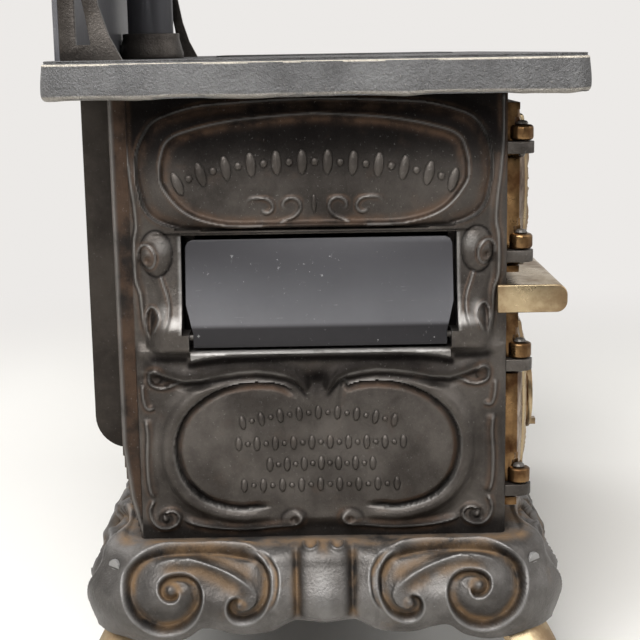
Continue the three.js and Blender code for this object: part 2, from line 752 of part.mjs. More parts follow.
// Doors: the outer face swells over a deep rim, and the shell is thin behind it.
function pillow(left, right, low, high) {
  const rings = [];
  const face = -bodyHalfDepth - seatGap;
  const swell = (u, v) => Math.sqrt(Math.max(0, Math.sin(Math.PI * u) * Math.sin(Math.PI * v)));
  const grid = (inner) => {
    const rows = [];
    for (let j = 0; j <= doorRows; j += 1) {
      const row = [];
      for (let i = 0; i <= doorColumns; i += 1) {
        const [u, v] = [i / doorColumns, j / doorRows];
        const border = i < 2 || j < 2 || i > doorColumns - 2 || j > doorRows - 2;
        const out = doorRim + doorBulge * swell(u, v);
        const y = inner ? (border ? face : face - out + doorWall) : face - out;
        row.push([left + u * (right - left), y, low + v * (high - low)]);
      }
      rows.push(row);
    }
    return rows;
  };
  rings.push(grid(false), grid(true));
  const width = doorColumns + 1;
  const layer = width * (doorRows + 1);
  const at = (side, i, j) => side * layer + j * width + i;
  const index = [];
  for (let j = 0; j < doorRows; j += 1) {
    for (let i = 0; i < doorColumns; i += 1) {
      index.push(at(0, i, j), at(0, i + 1, j), at(0, i + 1, j + 1));
      index.push(at(0, i, j), at(0, i + 1, j + 1), at(0, i, j + 1));
      index.push(at(1, i, j), at(1, i + 1, j + 1), at(1, i + 1, j));
      index.push(at(1, i, j), at(1, i, j + 1), at(1, i + 1, j + 1));
    }
  }
  for (let i = 0; i < doorColumns; i += 1) {
    index.push(at(0, i, 0), at(1, i, 0), at(1, i + 1, 0), at(0, i, 0), at(1, i + 1, 0), at(0, i + 1, 0));
    index.push(at(0, i, doorRows), at(1, i + 1, doorRows), at(1, i, doorRows));
    index.push(at(0, i, doorRows), at(0, i + 1, doorRows), at(1, i + 1, doorRows));
  }
  for (let j = 0; j < doorRows; j += 1) {
    index.push(at(0, 0, j), at(1, 0, j + 1), at(1, 0, j), at(0, 0, j), at(0, 0, j + 1), at(1, 0, j + 1));
    index.push(at(0, doorColumns, j), at(1, doorColumns, j), at(1, doorColumns, j + 1));
    index.push(at(0, doorColumns, j), at(1, doorColumns, j + 1), at(0, doorColumns, j + 1));
  }
  const geometry = new THREE.BufferGeometry();
  geometry.setAttribute('position', new THREE.BufferAttribute(new Float32Array(rings.flat(3)), 3));
  geometry.setIndex(index);
  return outward(geometry);
}

// Eyes sit on the lugs. The door's edge stands just off the hinge line and is notched round the lugs.
function makeDoor({ left, right, low, high, axisX, lugHeights, spindle }) {
  const hingeLeft = axisX < (left + right) / 2;
  const inward = hingeLeft ? 1 : -1;
  const leaf = pillow(left, right, low, high);
  const eyes = lugHeights.map((height) => {
    const bottom = height + lugThickness / 2 + seatGap;
    return joined(
      prismZ(disc(axisX, pinY, eyeRadius), bottom, bottom + eyeHeight, 6),
      block([Math.min(axisX, axisX + inward * 2 * eyeRadius), pinY - eyeRadius / 2, bottom],
        [Math.max(axisX, axisX + inward * 2 * eyeRadius), pinY + eyeRadius / 2, bottom + eyeHeight]));
  });
  const notchIn = axisX + inward * (lugRadius + 2 * turnGap);
  const notches = lugHeights.map((height) => block(
    [Math.min(axisX - inward * 2 * lugRadius, notchIn), -bodyHalfDepth - 2 * doorRim - doorBulge,
      height - lugThickness / 2 - pinTip - 2 * turnGap],
    [Math.max(axisX - inward * 2 * lugRadius, notchIn), -bodyHalfDepth,
      height + lugThickness / 2 + seatGap]));
  const bores = lugHeights.map((height) => prismZ(disc(axisX, pinY, pinRadius + turnGap),
    height, height + lugThickness / 2 + 2 * eyeHeight, 6));
  const headRoom = lugHeights.map((height) => prismZ(disc(axisX, pinY, pinHeadRadius + turnGap),
    height + lugThickness / 2 + seatGap + eyeHeight,
    height + lugThickness / 2 + eyeHeight + 2 * pinHeadHeight, 6));
  const spindleBore = prismY(disc(spindle.x, spindle.z, spindleRadius + turnGap),
    -bodyHalfDepth - 2 * doorRim - doorBulge, -bodyHalfDepth, 6);
  return cutAway(joined(leaf, ...eyes), ...notches, ...bores, ...headRoom, spindleBore);
}

const doorSpecs = {
  fire_door: { left: fireColumnLeft, right: fireColumnRight, low: fireDoorBottom, high: fireDoorTop,
    axisX: fireColumnLeft, lugHeights: fireLugHeights,
    spindle: { x: fireColumnRight - latchSetIn, z: (fireDoorBottom + fireDoorTop) / 2 } },
  ash_door: { left: fireColumnLeft, right: fireColumnRight, low: ashDoorBottom, high: ashDoorTop,
    axisX: fireColumnLeft, lugHeights: ashLugHeights,
    spindle: { x: fireColumnRight - latchSetIn, z: (ashDoorBottom + ashDoorTop) / 2 } },
  oven_door: { left: ovenDoorLeft, right: ovenDoorRight, low: ovenDoorBottom, high: ovenDoorTop,
    axisX: ovenDoorRight, lugHeights: ovenLugHeights,
    spindle: { x: ovenDoorLeft + latchSetIn, z: (ovenDoorBottom + ovenDoorTop) / 2 } },
};

// The air inlet: a flat boss on the ash door, pierced by a ring of holes
const draftX = (fireColumnLeft + fireColumnRight) / 2 - latchSetIn / 2;
const draftZ = (ashDoorBottom + ashDoorTop) / 2;
const doorFace = -bodyHalfDepth - seatGap - doorRim - doorBulge;
const draftSeat = doorFace - draftBossHeight;

function draftHoleCuts(front, back) {
  const cuts = [];
  for (let i = 0; i < draftHoles; i += 1) {
    const angle = 2 * Math.PI * i / draftHoles + Math.PI / 2;
    const holeX = draftX + draftHoleCircle * Math.cos(angle);
    const holeZ = draftZ + draftHoleCircle * Math.sin(angle);
    cuts.push(prismY(disc(holeX, holeZ, draftHoleRadius), front, back, 4));
  }
  return cuts;
}

const ashLeaf = joined(makeDoor(doorSpecs.ash_door),
  prismY(disc(draftX, draftZ, draftRadius + draftBossHeight), draftSeat, doorFace + doorWall,
    roundSides / 2));
const ashDoor = cutAway(ashLeaf,
  ...draftHoleCuts(draftSeat - cutOverrun, -bodyHalfDepth),
  prismY(disc(draftX, draftZ, draftRivetRadius + seatGap), draftSeat - cutOverrun, -bodyHalfDepth, 6));
addPiece('fire_door', makeDoor(doorSpecs.fire_door), nickel());
addPiece('ash_door', ashDoor, nickel());
addPiece('oven_door', makeDoor(doorSpecs.oven_door), nickel());

const discBack = draftSeat - seatGap;
const discFront = discBack - draftDiscThickness;
const draftDisc = cutAway(
  joined(prismY(disc(draftX, draftZ, draftRadius), discFront, discBack, roundSides / 2),
    block([draftX - draftTabWidth / 2, discFront - draftTabLength, draftZ - draftRadius + draftTabWidth / 4],
      [draftX + draftTabWidth / 2, discBack - draftDiscThickness / 2, draftZ - draftRadius + draftTabWidth])),
  ...draftHoleCuts(discFront - cutOverrun, draftSeat),
  prismY(disc(draftX, draftZ, draftRivetRadius + turnGap), discFront - cutOverrun, draftSeat, 6));
addPiece('draft_disc', draftDisc, nickel());
const rivetHead = discFront - seatGap;
addPiece('draft_rivet', joined(
  prismY(disc(draftX, draftZ, draftRivetRadius), rivetHead - draftDiscThickness / 2, doorFace + doorWall, 6),
  prismY(disc(draftX, draftZ, 2 * draftRivetRadius), rivetHead - draftDiscThickness, rivetHead, 6)),
darkSteel());

// Hinge pins: a domed head above the eye, and a tip below the lug
for (const [name, axisX, heights] of [['fire_door', fireColumnLeft, fireLugHeights],
  ['ash_door', fireColumnLeft, ashLugHeights], ['oven_door', ovenDoorRight, ovenLugHeights]]) {
  heights.forEach((height, i) => {
    const tip = height - lugThickness / 2 - pinTip;
    const under = height + lugThickness / 2 + eyeHeight + 2 * seatGap;
    const pin = turned([[0, tip], [pinRadius * pinTipShare, tip], [pinRadius, tip + pinTip / 2],
      [pinRadius, under],
      ...pinHeadShares.map(([out, up]) => [pinHeadRadius * out, under + pinHeadHeight * up])], pinSides);
    pin.translate(axisX, pinY, 0);
    addPiece(`${name}_pin_${i === 0 ? 'lower' : 'upper'}`, pin, darkSteel());
  });
}

// Turning latches: the tail hangs down behind the door, and turns behind the front casting.
for (const [name, { spindle }] of Object.entries(doorSpecs)) {
  const u = (spindle.x - doorSpecs[name].left) / (doorSpecs[name].right - doorSpecs[name].left);
  const swellHere = doorRim + doorBulge * Math.sqrt(Math.sin(Math.PI * u));
  const seat = -bodyHalfDepth - 2 * seatGap - swellHere;
  const tailFront = -frontInner + 2 * turnGap;
  const tailBack = tailFront + tailThickness;
  const knob = turned([[0, 0], [spindleRadius, 0],
    ...knobShares.map(([out, along]) => [knobRadius * out, knobLength * along])], knobSides);
  knob.rotateX(Math.PI / 2).translate(spindle.x, seat, spindle.z);
  addPiece(`${name}_knob`, joined(knob,
    prismY(disc(spindle.x, spindle.z, spindleRadius), seat - knobLength / 4, tailBack, 6),
    block([spindle.x - tailWidth / 2, tailFront, spindle.z - tailLength],
      [spindle.x + tailWidth / 2, tailBack, spindle.z + tailWidth / 2])), nickel());
}

// Nickel shelf: a hollow casting with a rounded nose, hooked round the corner of the fire end
const shelfLeft = -bodyHalfLength - frontShelfEnd;
const shelfRight = fireColumnRight + frontShelfEnd;
const shelfNoseY = -bodyHalfDepth - frontShelfReach;
const noseShape = roundedRectangle(shelfNoseY, -bodyHalfDepth + 2 * frontShelfNose, frontShelfBottom,
  frontShelfTop, frontShelfNose);
addPiece('front_shelf', cutAway(
  prismX(noseShape, shelfLeft, shelfRight, 5),
  block([-bodyHalfLength - seatGap, -bodyHalfDepth, frontShelfBottom - cutOverrun],
    [shelfRight + cutOverrun, -bodyHalfDepth + 3 * frontShelfNose, frontShelfTop + cutOverrun]),
  block([shelfLeft - cutOverrun, -bodyHalfDepth + frontShelfHook, frontShelfBottom - cutOverrun],
    [shelfRight + cutOverrun, -bodyHalfDepth + 3 * frontShelfNose, frontShelfTop + cutOverrun]),
  block([-bodyHalfLength, shelfNoseY + frontShelfNose, frontShelfBottom - cutOverrun],
    [shelfRight - frontShelfWall, -bodyHalfDepth - frontShelfWall, frontShelfTop - frontShelfWall])),
nickel());

// Back plate, open into the flue casing
addPiece('back_plate', cutAway(
  block([-endInner, frontInner, baseTop], [endInner, bodyHalfDepth, plateTop]),
  block([-flueOpeningHalfLength, frontInner - cutOverrun, plateTop - flueOpeningHeight - flueOpeningHead],
    [flueOpeningHalfLength, bodyHalfDepth + cutOverrun, plateTop - flueOpeningHead])), castIron());

// Flue casing: a shell with a rounded foot, open towards the back plate and up into the pipe
function flueShape(inset) {
  const rear = bodyHalfDepth + flueDepth - inset;
  const low = baseTop + flueFoot + inset;
  const radius = flueRound - inset;
  const shape = new THREE.Shape();
  shape.moveTo(bodyHalfDepth - (inset > 0 ? cutOverrun : 0), low);
  shape.absarc(rear - radius, low + radius, radius, -Math.PI / 2, 0, false);
  shape.lineTo(rear, plateTop + (inset > 0 ? cutOverrun : 0));
  shape.lineTo(bodyHalfDepth - (inset > 0 ? cutOverrun : 0), plateTop + (inset > 0 ? cutOverrun : 0));
  return shape;
}

const flueHalfLength = bodyHalfLength - flueSetIn;
addPiece('flue_casing', cutAway(
  prismX(flueShape(0), -flueHalfLength, flueHalfLength, 5),
  prismX(flueShape(flueWall), -flueHalfLength + flueWall, flueHalfLength - flueWall, 5)), darkSteel());

// Fire box: four walls with windows for the two doors and the hopper, and two ledges for the grate
const fireBoxLeft = -bodyHalfLength + fireBoxSetIn;
const fireBoxRight = fireColumnRight - fireBoxSideGap;
const fireBoxFront = -frontInner + 3 * turnGap + tailThickness;
const fireBoxRear = frontInner - fireBoxRearGap;
const fireBoxTop = plateTop - fireBoxHeadGap;
const grateHeight = hopperBottom + grateRise;
const boxInner = {
  low: [fireBoxLeft + boxWall, fireBoxFront + boxWall],
  high: [fireBoxRight - boxWall, fireBoxRear - boxWall],
};
const grateLow = grateHeight - grateThickness;
const ledgeLow = grateLow - boxWall;
const doorWindow = ({ low, high }, right) => block([boxInner.low[0], fireBoxFront - cutOverrun, low[1]],
  [right, fireBoxFront + boxWall + cutOverrun, high[1]]);
const fireBox = cutAway(
  joined(
    cutAway(
      block([fireBoxLeft, fireBoxFront, floorTop], [fireBoxRight, fireBoxRear, fireBoxTop]),
      block([...boxInner.low, floorTop - cutOverrun], [...boxInner.high, fireBoxTop + cutOverrun])),
    block([boxInner.low[0] - boxWall / 2, fireBoxFront + boxWall / 2, ledgeLow],
      [boxInner.high[0] + boxWall / 2, boxInner.low[1] + grateLedge, grateLow]),
    block([boxInner.low[0] - boxWall / 2, boxInner.high[1] - grateLedge, ledgeLow],
      [boxInner.high[0] + boxWall / 2, fireBoxRear - boxWall / 2, grateLow])),
  doorWindow(fireOpening, fireOpening.high[0]),
  doorWindow({ low: ashOpening.low, high: [0, ledgeLow - boxWall] }, ashOpening.high[0]),
  block([fireBoxLeft - cutOverrun, -hopperHalfWidth + boxWall, grateHeight + boxWall],
    [fireBoxLeft + boxWall + cutOverrun, boxInner.high[1] - boxWall, hopperHead]));
addPiece('fire_box', fireBox, castIron());

// Grate: a slotted plate that lies on the ledges
const grate = { left: boxInner.low[0] + seatGap, right: boxInner.high[0] - seatGap,
  front: boxInner.low[1] + seatGap, rear: boxInner.high[1] - seatGap };
const gratePitch = (grate.right - grate.left - grateBar) / (grateBars - 1);
const slots = [];
for (let i = 0; i < grateBars - 1; i += 1) {
  const start = grate.left + grateBar + i * gratePitch;
  slots.push(block([start, grate.front + grateLedge + grateBar, grateLow - cutOverrun],
    [start + gratePitch - grateBar, grate.rear - grateLedge - grateBar, grateHeight + cutOverrun]));
}
addPiece('grate', cutAway(block([grate.left, grate.front, grateLow], [grate.right, grate.rear, grateHeight]),
  ...slots), castIron());

// Oven box: a sheet box with a flange against the back of the front casting
const ovenIn = { low: ovenOpening.low, high: ovenOpening.high };
const ovenRear = frontInner - ovenRearGap;
const ovenRim = ovenWall + ovenFlange;
addPiece('oven_box', cutAway(
  joined(
    block([ovenIn.low[0] - ovenWall - tailLength, -frontInner, ovenIn.low[1] - ovenWall],
      [ovenIn.high[0] + ovenWall, ovenRear, ovenIn.high[1] + ovenWall]),
    block([ovenIn.low[0] - tailLength - ovenRim, -frontInner, ovenIn.low[1] - ovenRim],
      [ovenIn.high[0] + ovenRim, -frontInner + ovenWall, ovenIn.high[1] + ovenRim])),
  block([ovenIn.low[0] - tailLength, -frontInner - cutOverrun, ovenIn.low[1]],
    [ovenIn.high[0], ovenRear - ovenWall, ovenIn.high[1]])), sheetSteel());

// Cooktop: a plate with a deep rim, a stepped edge, two lid openings with seats, and a raised panel
const rimBottom = cooktopTop - rimHeight;
const lidLow = cooktopTop - lidFaceThickness;

function lidOpening(centreX, radius, neck) {
  const shape = new THREE.Shape();
  const angle = Math.acos(Math.min(1, neck / radius));
  shape.absarc(centreX, lidFront, radius, angle, Math.PI - angle, true);
  shape.absarc(centreX, lidRear, radius, Math.PI + angle, 2 * Math.PI - angle, true);
  return shape;
}

const cooktopCuts = [
  prismZ(roundedRectangle(-cooktopHalfLength + rimWall, cooktopHalfLength - rimWall,
    -cooktopHalfDepth + rimWall, cooktopHalfDepth - rimWall, cooktopCorner - rimWall / 2),
  rimBottom - cutOverrun, plateTop, 3),
  prismZ(disc(0, pipeBack, pipeRadius - pipeWall), plateTop - cutOverrun, cooktopTop + cutOverrun,
    roundSides / 2),
  ...lidColumns.flatMap((centreX) => [
    prismZ(lidOpening(centreX, lidRadius + seatGap, neckHalfWidth + seatGap), lidLow,
      cooktopTop + cutOverrun, lidSides / 2),
    prismZ(lidOpening(centreX, lidRadius - lidStep, neckHalfWidth - lidStep), plateTop - cutOverrun,
      cooktopTop, lidSides / 2),
  ]),
];
const coverLeft = lidColumns[1] + lidRadius + coverGap;
const coverRight = cooktopHalfLength - coverEndRim;
const coverHalfDepth = cooktopHalfDepth - coverSideRim;
addPiece('cooktop', cutAway(
  joined(
    prismZ(roundedRectangle(-cooktopHalfLength, cooktopHalfLength, -cooktopHalfDepth, cooktopHalfDepth,
      cooktopCorner), rimBottom, cooktopTop - rimStep, 4),
    prismZ(roundedRectangle(-cooktopHalfLength + rimStepInset, cooktopHalfLength - rimStepInset,
      -cooktopHalfDepth + rimStepInset, cooktopHalfDepth - rimStepInset, cooktopCorner - rimStepInset),
    cooktopTop - 2 * rimStep, cooktopTop, 4),
    prismZ(roundedRectangle(coverLeft, coverRight, -coverShift - coverHalfDepth, -coverShift + coverHalfDepth,
      cooktopCorner), cooktopTop - rimStep, cooktopTop + coverRaise, 4)),
  ...cooktopCuts), wornIron());

// Lids rest on the seats, and a pocket in each takes the lifter.
const lidUnder = cooktopTop - lidBodyThickness;
for (const [column, centreX] of [['fire', lidColumns[0]], ['oven', lidColumns[1]]]) {
  for (const [row, centreY] of [['front', lidFront], ['rear', lidRear]]) {
    const lid = turned([[0, lidUnder], [lidRadius - lidStep - seatGap, lidUnder],
      [lidRadius - lidStep - seatGap, lidLow], [lidRadius, lidLow], [lidRadius, cooktopTop], [0, cooktopTop]],
    lidSides);
    lid.translate(centreX, centreY, 0);
    const pocketY = centreY + (row === 'front' ? -1 : 1) * lidRadius / 2;
    addPiece(`lid_${column}_${row}`, cutAway(lid,
      block([centreX - lidPocketWidth / 2, pocketY - lidPocketLength / 2, cooktopTop - lidPocketDepth],
        [centreX + lidPocketWidth / 2, pocketY + lidPocketLength / 2, cooktopTop + cutOverrun])), castIron());
  }
  const slab = (half, low, high) => block([centreX - half, lidFront, low], [centreX + half, lidRear, high]);
  const around = (radius, centreY) => prismZ(disc(centreX, centreY, radius), lidUnder - cutOverrun,
    cooktopTop + cutOverrun, lidSides / 2);
  addPiece(`centre_piece_${column}`, cutAway(
    joined(slab(neckHalfWidth, lidLow, cooktopTop),
      slab(neckHalfWidth - lidStep - seatGap, lidUnder, cooktopTop)),
    around(lidRadius + seatGap, lidFront), around(lidRadius + seatGap, lidRear)), castIron());
}

// Stovepipe, its collar and the damper
const pipeInner = pipeRadius - pipeWall;
const pipe = turned([[pipeInner, cooktopTop], [pipeRadius, cooktopTop], [pipeRadius, pipeTop - 3 * pipeBead],
  [pipeRadius + pipeBead, pipeTop - 2 * pipeBead], [pipeRadius + pipeBead, pipeTop - pipeBead],
  [pipeRadius, pipeTop], [pipeInner, pipeTop], [pipeInner, cooktopTop]]);
pipe.translate(0, pipeBack, 0);
addPiece('stovepipe', cutAway(pipe, prismX(disc(pipeBack, damperHeight, damperSpindle + turnGap),
  -2 * pipeRadius, 2 * pipeRadius, 6)), sheetSteel());
const collarInner = pipeRadius + seatGap;
const collarLip = collarInner + collarWall;
const collar = turned([[collarInner, cooktopTop], [collarRadius, cooktopTop],
  [collarRadius, cooktopTop + collarHeight / 5], [collarLip + collarWall / 3, cooktopTop + collarHeight / 2],
  [collarLip, cooktopTop + collarHeight * 4 / 5], [collarLip, cooktopTop + collarHeight],
  [collarInner, cooktopTop + collarHeight], [collarInner, cooktopTop]]);
collar.translate(0, pipeBack, 0);
addPiece('pipe_collar', cutAway(collar,
  block([-2 * collarRadius, bracketRear - seatGap, cooktopTop - cutOverrun],
    [2 * collarRadius, pipeBack + 2 * collarRadius, cooktopTop + 2 * collarHeight])), castIron());
const damperDisc = disc(pipeBack, damperHeight, pipeInner - 2 * turnGap);
const handleStart = pipeRadius + turnGap;
addPiece('pipe_damper', joined(
  prismX(damperDisc, -damperThickness / 2, damperThickness / 2, roundSides / 2)
    .translate(0, -pipeBack, -damperHeight).rotateZ(Math.PI / 2).translate(0, pipeBack, damperHeight),
  prismX(disc(pipeBack, damperHeight, damperSpindle), -pipeRadius - 2 * damperSpindle,
    handleStart + damperHandleLength, 6),
  prismX(disc(pipeBack, damperHeight, damperHandleRadius), handleStart + damperSpindle,
    handleStart + damperHandleLength, 8)), darkSteel());

// Brackets: scrolled straps that rise from the cooktop's rear corners and sweep forward under the shelf
function bracketShape() {
  const place = ([out, up]) => [bodyHalfDepth + out * bracketDepth, cooktopTop + up * shelfRise];
  const shape = new THREE.Shape();
  shape.moveTo(bracketRear, cooktopTop);
  shape.lineTo(bracketRear, shelfHeight);
  shape.lineTo(shelfFront + shelfCorner, shelfHeight);
  const [nose, noseEnd, ...sweep] = bracketLineShares.map(place);
  shape.quadraticCurveTo(shelfFront + shelfCorner, nose[1], ...noseEnd);
  shape.bezierCurveTo(...sweep[0], ...sweep[1], ...sweep[2]);
  shape.bezierCurveTo(...sweep[3], ...sweep[4], bodyHalfDepth, cooktopTop);
  const inner = bracketRear - bracketStrap;
  const upper = new THREE.Path();
  const [start, first, second, end] = bracketWindowShares.map(place);
  upper.moveTo(inner, shelfHeight - bracketStrap);
  upper.lineTo(start[0], shelfHeight - bracketStrap);
  upper.bezierCurveTo(...first, ...second, inner, end[1]);
  const lower = new THREE.Path();
  const [rise, turn, foot] = bracketEyeShares.map(place);
  lower.moveTo(inner, cooktopTop + bracketStrap);
  lower.lineTo(inner, rise[1]);
  lower.quadraticCurveTo(...turn, foot[0], cooktopTop + bracketStrap);
  shape.holes.push(upper, lower);
  return shape;
}

addPiece('shelf_bracket_left', prismX(bracketShape(), -bracketOut, -bracketOut + bracketWall, 7), castIron());
addPiece('shelf_bracket_right', prismX(bracketShape(), bracketOut - bracketWall, bracketOut, 7), castIron());
addPiece('splash_back', block([-bracketOut, bracketRear, cooktopTop],
  [bracketOut, bracketRear + splashThickness, shelfHeight]), sheetSteel());
const shelfTop = shelfHeight + shelfThickness;
addPiece('high_shelf', cutAway(
  joined(
    prismZ(roundedRectangle(-shelfHalfLength, shelfHalfLength, shelfFront, cooktopHalfDepth, shelfCorner),
      shelfHeight, shelfTop, 4),
    cutAway(
      prismZ(roundedRectangle(-shelfHalfLength, shelfHalfLength, shelfFront, cooktopHalfDepth, shelfCorner),
        shelfHeight, shelfHeight + shelfLip, 4),
      prismZ(roundedRectangle(-shelfHalfLength + shelfThickness, shelfHalfLength - shelfThickness,
        shelfFront + shelfThickness, cooktopHalfDepth - shelfThickness, shelfCorner - shelfThickness),
      shelfHeight - cutOverrun, shelfHeight + shelfLip + cutOverrun, 4))),
  prismZ(disc(0, pipeBack, pipeRadius + seatGap), shelfHeight - cutOverrun,
    shelfHeight + shelfLip + cutOverrun, roundSides / 2)), wornIron());

// Tie rods: long bolts inside the four corners, with a nut on the bottom plate
for (const [place, signX, signY] of corners) {
  const x = signX * (endInner - tieRodSetIn);
  const y = signY * (frontInner - tieRodSetIn - tieRodNutRadius / 2);
  const nutTop = floorTop + tieRodNutHeight;
  const rod = turned([[0, floorTop], [tieRodNutRadius, floorTop], [tieRodNutRadius, nutTop],
    [tieRodRadius, nutTop], [tieRodRadius, plateTop], [0, plateTop]], 6);
  rod.translate(x, y, 0);
  addPiece(`tie_rod_${place}`, rod, darkSteel());
}

export default stove;
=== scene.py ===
import json
import math

import bmesh
import bpy
import numpy as np
from mathutils import Matrix, Vector

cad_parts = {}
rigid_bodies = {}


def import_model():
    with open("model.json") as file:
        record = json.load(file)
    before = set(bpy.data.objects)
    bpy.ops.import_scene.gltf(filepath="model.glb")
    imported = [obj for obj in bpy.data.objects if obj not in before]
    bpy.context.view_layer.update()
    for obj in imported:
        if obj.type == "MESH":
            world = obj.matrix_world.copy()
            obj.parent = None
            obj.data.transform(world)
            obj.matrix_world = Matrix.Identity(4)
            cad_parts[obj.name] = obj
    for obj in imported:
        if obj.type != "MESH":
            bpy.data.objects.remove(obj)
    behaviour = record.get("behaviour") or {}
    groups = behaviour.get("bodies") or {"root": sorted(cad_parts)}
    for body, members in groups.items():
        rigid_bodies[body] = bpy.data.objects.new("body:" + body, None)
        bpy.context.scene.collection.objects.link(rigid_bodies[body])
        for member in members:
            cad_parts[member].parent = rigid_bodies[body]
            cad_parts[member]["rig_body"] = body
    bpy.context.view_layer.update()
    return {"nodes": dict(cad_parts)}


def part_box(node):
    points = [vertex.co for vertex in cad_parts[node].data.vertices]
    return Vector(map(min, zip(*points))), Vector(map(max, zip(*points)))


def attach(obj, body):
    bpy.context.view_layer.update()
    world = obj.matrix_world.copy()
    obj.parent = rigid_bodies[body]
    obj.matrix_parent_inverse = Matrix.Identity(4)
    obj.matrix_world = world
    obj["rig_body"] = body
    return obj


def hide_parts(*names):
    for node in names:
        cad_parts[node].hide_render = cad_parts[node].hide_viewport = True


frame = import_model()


# The room: a pale floor and a white backdrop behind a cast iron toy range that stands on its own legs.
# A broad soft light hangs above the fire end, as over a photographer's table, and the walls fill the shadows.
def put(tree, kind, inputs=None, **settings):
    """A node with its settings. An input gets a value, or a link where another node's output is given."""
    made = tree.nodes.new(kind)
    for key, value in settings.items():
        setattr(made, key, value)
    for name, value in (inputs or {}).items():
        if isinstance(value, bpy.types.NodeSocket):
            tree.links.new(value, made.inputs[name])
        else:
            made.inputs[name].default_value = value
    return made


def combine(tree, operation, first, second):
    clamped = operation != "SUBTRACT"
    made = put(tree, "ShaderNodeMath", {0: first, 1: second}, operation=operation, use_clamp=clamped)
    return made.outputs[0]


def band(tree, value, low, high):
    """Rises smoothly from 0 at low to 1 at high."""
    return put(tree, "ShaderNodeMapRange", {"Value": value, "From Min": low, "From Max": high},
               interpolation_type="SMOOTHSTEP").outputs["Result"]


def new_finish(name, values):
    """A material, its tree and its shader, which gets the values."""
    finish = bpy.data.materials.new(name)
    finish.use_nodes = True
    shader = finish.node_tree.nodes["Principled BSDF"]
    for label, value in values.items():
        shader.inputs[label].default_value = value
    return finish, finish.node_tree, shader


def mix_shaders(tree, share, first, second, output):
    """Shows the first shader, and the second by its share."""
    mix = put(tree, "ShaderNodeMixShader", {0: share, 1: first.outputs[0], 2: second.outputs[0]})
    tree.links.new(mix.outputs[0], output.inputs["Surface"])


def stage_plane(name, finish, **place):
    bpy.ops.mesh.primitive_plane_add(**place)
    plane = bpy.context.object
    plane.name = name
    plane.data.materials.append(finish)
    return plane


white = (0.84, 0.82, 0.8, 1)


def lay_floor():
    """A pale floor that keeps the shadow, and fades to the white of the backdrop for the camera."""
    near_end, far_end = 0.45, 1.1
    finish, tree, paint = new_finish("pale_floor", {"Base Color": (0.86, 0.84, 0.8, 1), "Roughness": 0.9})
    place = put(tree, "ShaderNodeTexCoord").outputs["Object"]
    reach = put(tree, "ShaderNodeVectorMath", {0: place}, operation="LENGTH").outputs["Value"]
    seen = put(tree, "ShaderNodeLightPath").outputs["Is Camera Ray"]
    far_white = put(tree, "ShaderNodeEmission", {"Color": white})
    share = combine(tree, "MULTIPLY", band(tree, reach, near_end, far_end), seen)
    mix_shaders(tree, share, paint, far_white, tree.nodes["Material Output"])
    stage_plane("floor", finish, size=6.0, location=(0, 0, 0))


def paint_walls():
    """A dim world, which is white to the camera and in reflections."""
    world = bpy.data.worlds.new("studio")
    bpy.context.scene.world = world
    world.use_nodes = True
    tree = world.node_tree
    tree.nodes.clear()
    rays = put(tree, "ShaderNodeLightPath").outputs
    seen = combine(tree, "MAXIMUM", rays["Is Camera Ray"], rays["Is Glossy Ray"])
    seen = combine(tree, "MAXIMUM", seen, rays["Is Transmission Ray"])
    dim = put(tree, "ShaderNodeBackground", {"Color": (0.93, 0.94, 0.96, 1), "Strength": 0.12})
    bright = put(tree, "ShaderNodeBackground", {"Color": white, "Strength": 1.0})
    mix_shaders(tree, seen, dim, bright, put(tree, "ShaderNodeOutputWorld"))


def soft_box(name, place, target, size, power):
    lamp = bpy.data.lights.new(name, "AREA")
    lamp.shape = "RECTANGLE"
    lamp.size, lamp.size_y = size
    lamp.energy = power
    holder = bpy.data.objects.new(name, lamp)
    bpy.context.scene.collection.objects.link(holder)
    holder.rotation_mode = "QUATERNION"
    holder.rotation_quaternion = (Vector(target) - Vector(place)).to_track_quat("-Z", "Y")
    holder.location = place


def darken_camera_side():
    """A dark wall behind the camera keeps faces that are turned to it black. The camera doesn't see it."""
    finish, tree, black = new_finish("dark_room", {"Base Color": (0.01, 0.01, 0.01, 1),
                                                   "Specular IOR Level": 0.0})
    seen = put(tree, "ShaderNodeLightPath").outputs["Is Camera Ray"]
    mix_shaders(tree, seen, black, put(tree, "ShaderNodeBsdfTransparent"), tree.nodes["Material Output"])
    wall = stage_plane("dark_room", finish, size=1, location=(-2.7, 0, 0.75),
                       rotation=(0, math.radians(90), 0))
    wall.scale = (1.5, 4.4, 1)


lay_floor()
paint_walls()
soft_box("light_above", (-1.12, 0.28, 1.52), (-0.15, 0, 0.2), (1.0, 1.4), 50)
soft_box("light_doors", (-0.5, -1.7, 1.2), (0, 0, 0.25), (1.2, 1.0), 14)
soft_box("light_rear", (0.9, 1.5, 1.4), (0, 0, 0.25), (1.4, 1.0), 16)
soft_box("light_fill", (-1.9, 0.8, 0.45), (-0.2, 0, 0.2), (0.9, 0.7), 1.5)
darken_camera_side()


# The camera stands level with the cooktop, square on to the fire end, and looks down a little.
# Its lens is a short telephoto, and it leans by one degree, as a hand-held camera does.
def set_camera():
    lens = bpy.data.cameras.new("camera")
    lens.lens, lens.sensor_width = 78.75, 36
    camera = bpy.data.objects.new("camera", lens)
    bpy.context.scene.collection.objects.link(camera)
    eye, pitch, roll = (-0.819, 0, 0.313), math.radians(10.9), math.radians(-1.0)
    ahead = Vector((math.cos(pitch), 0, -math.sin(pitch)))
    sideways = Vector((0, -1, 0))
    upward = sideways.cross(ahead)
    right = math.cos(roll) * sideways + math.sin(roll) * upward
    top = -math.sin(roll) * sideways + math.cos(roll) * upward
    turn = Matrix((right, top, -ahead)).transposed().to_4x4()
    camera.matrix_world = Matrix.Translation(eye) @ turn
    bpy.context.scene.camera = camera
    bpy.context.scene.view_settings.view_transform = "Standard"


set_camera()


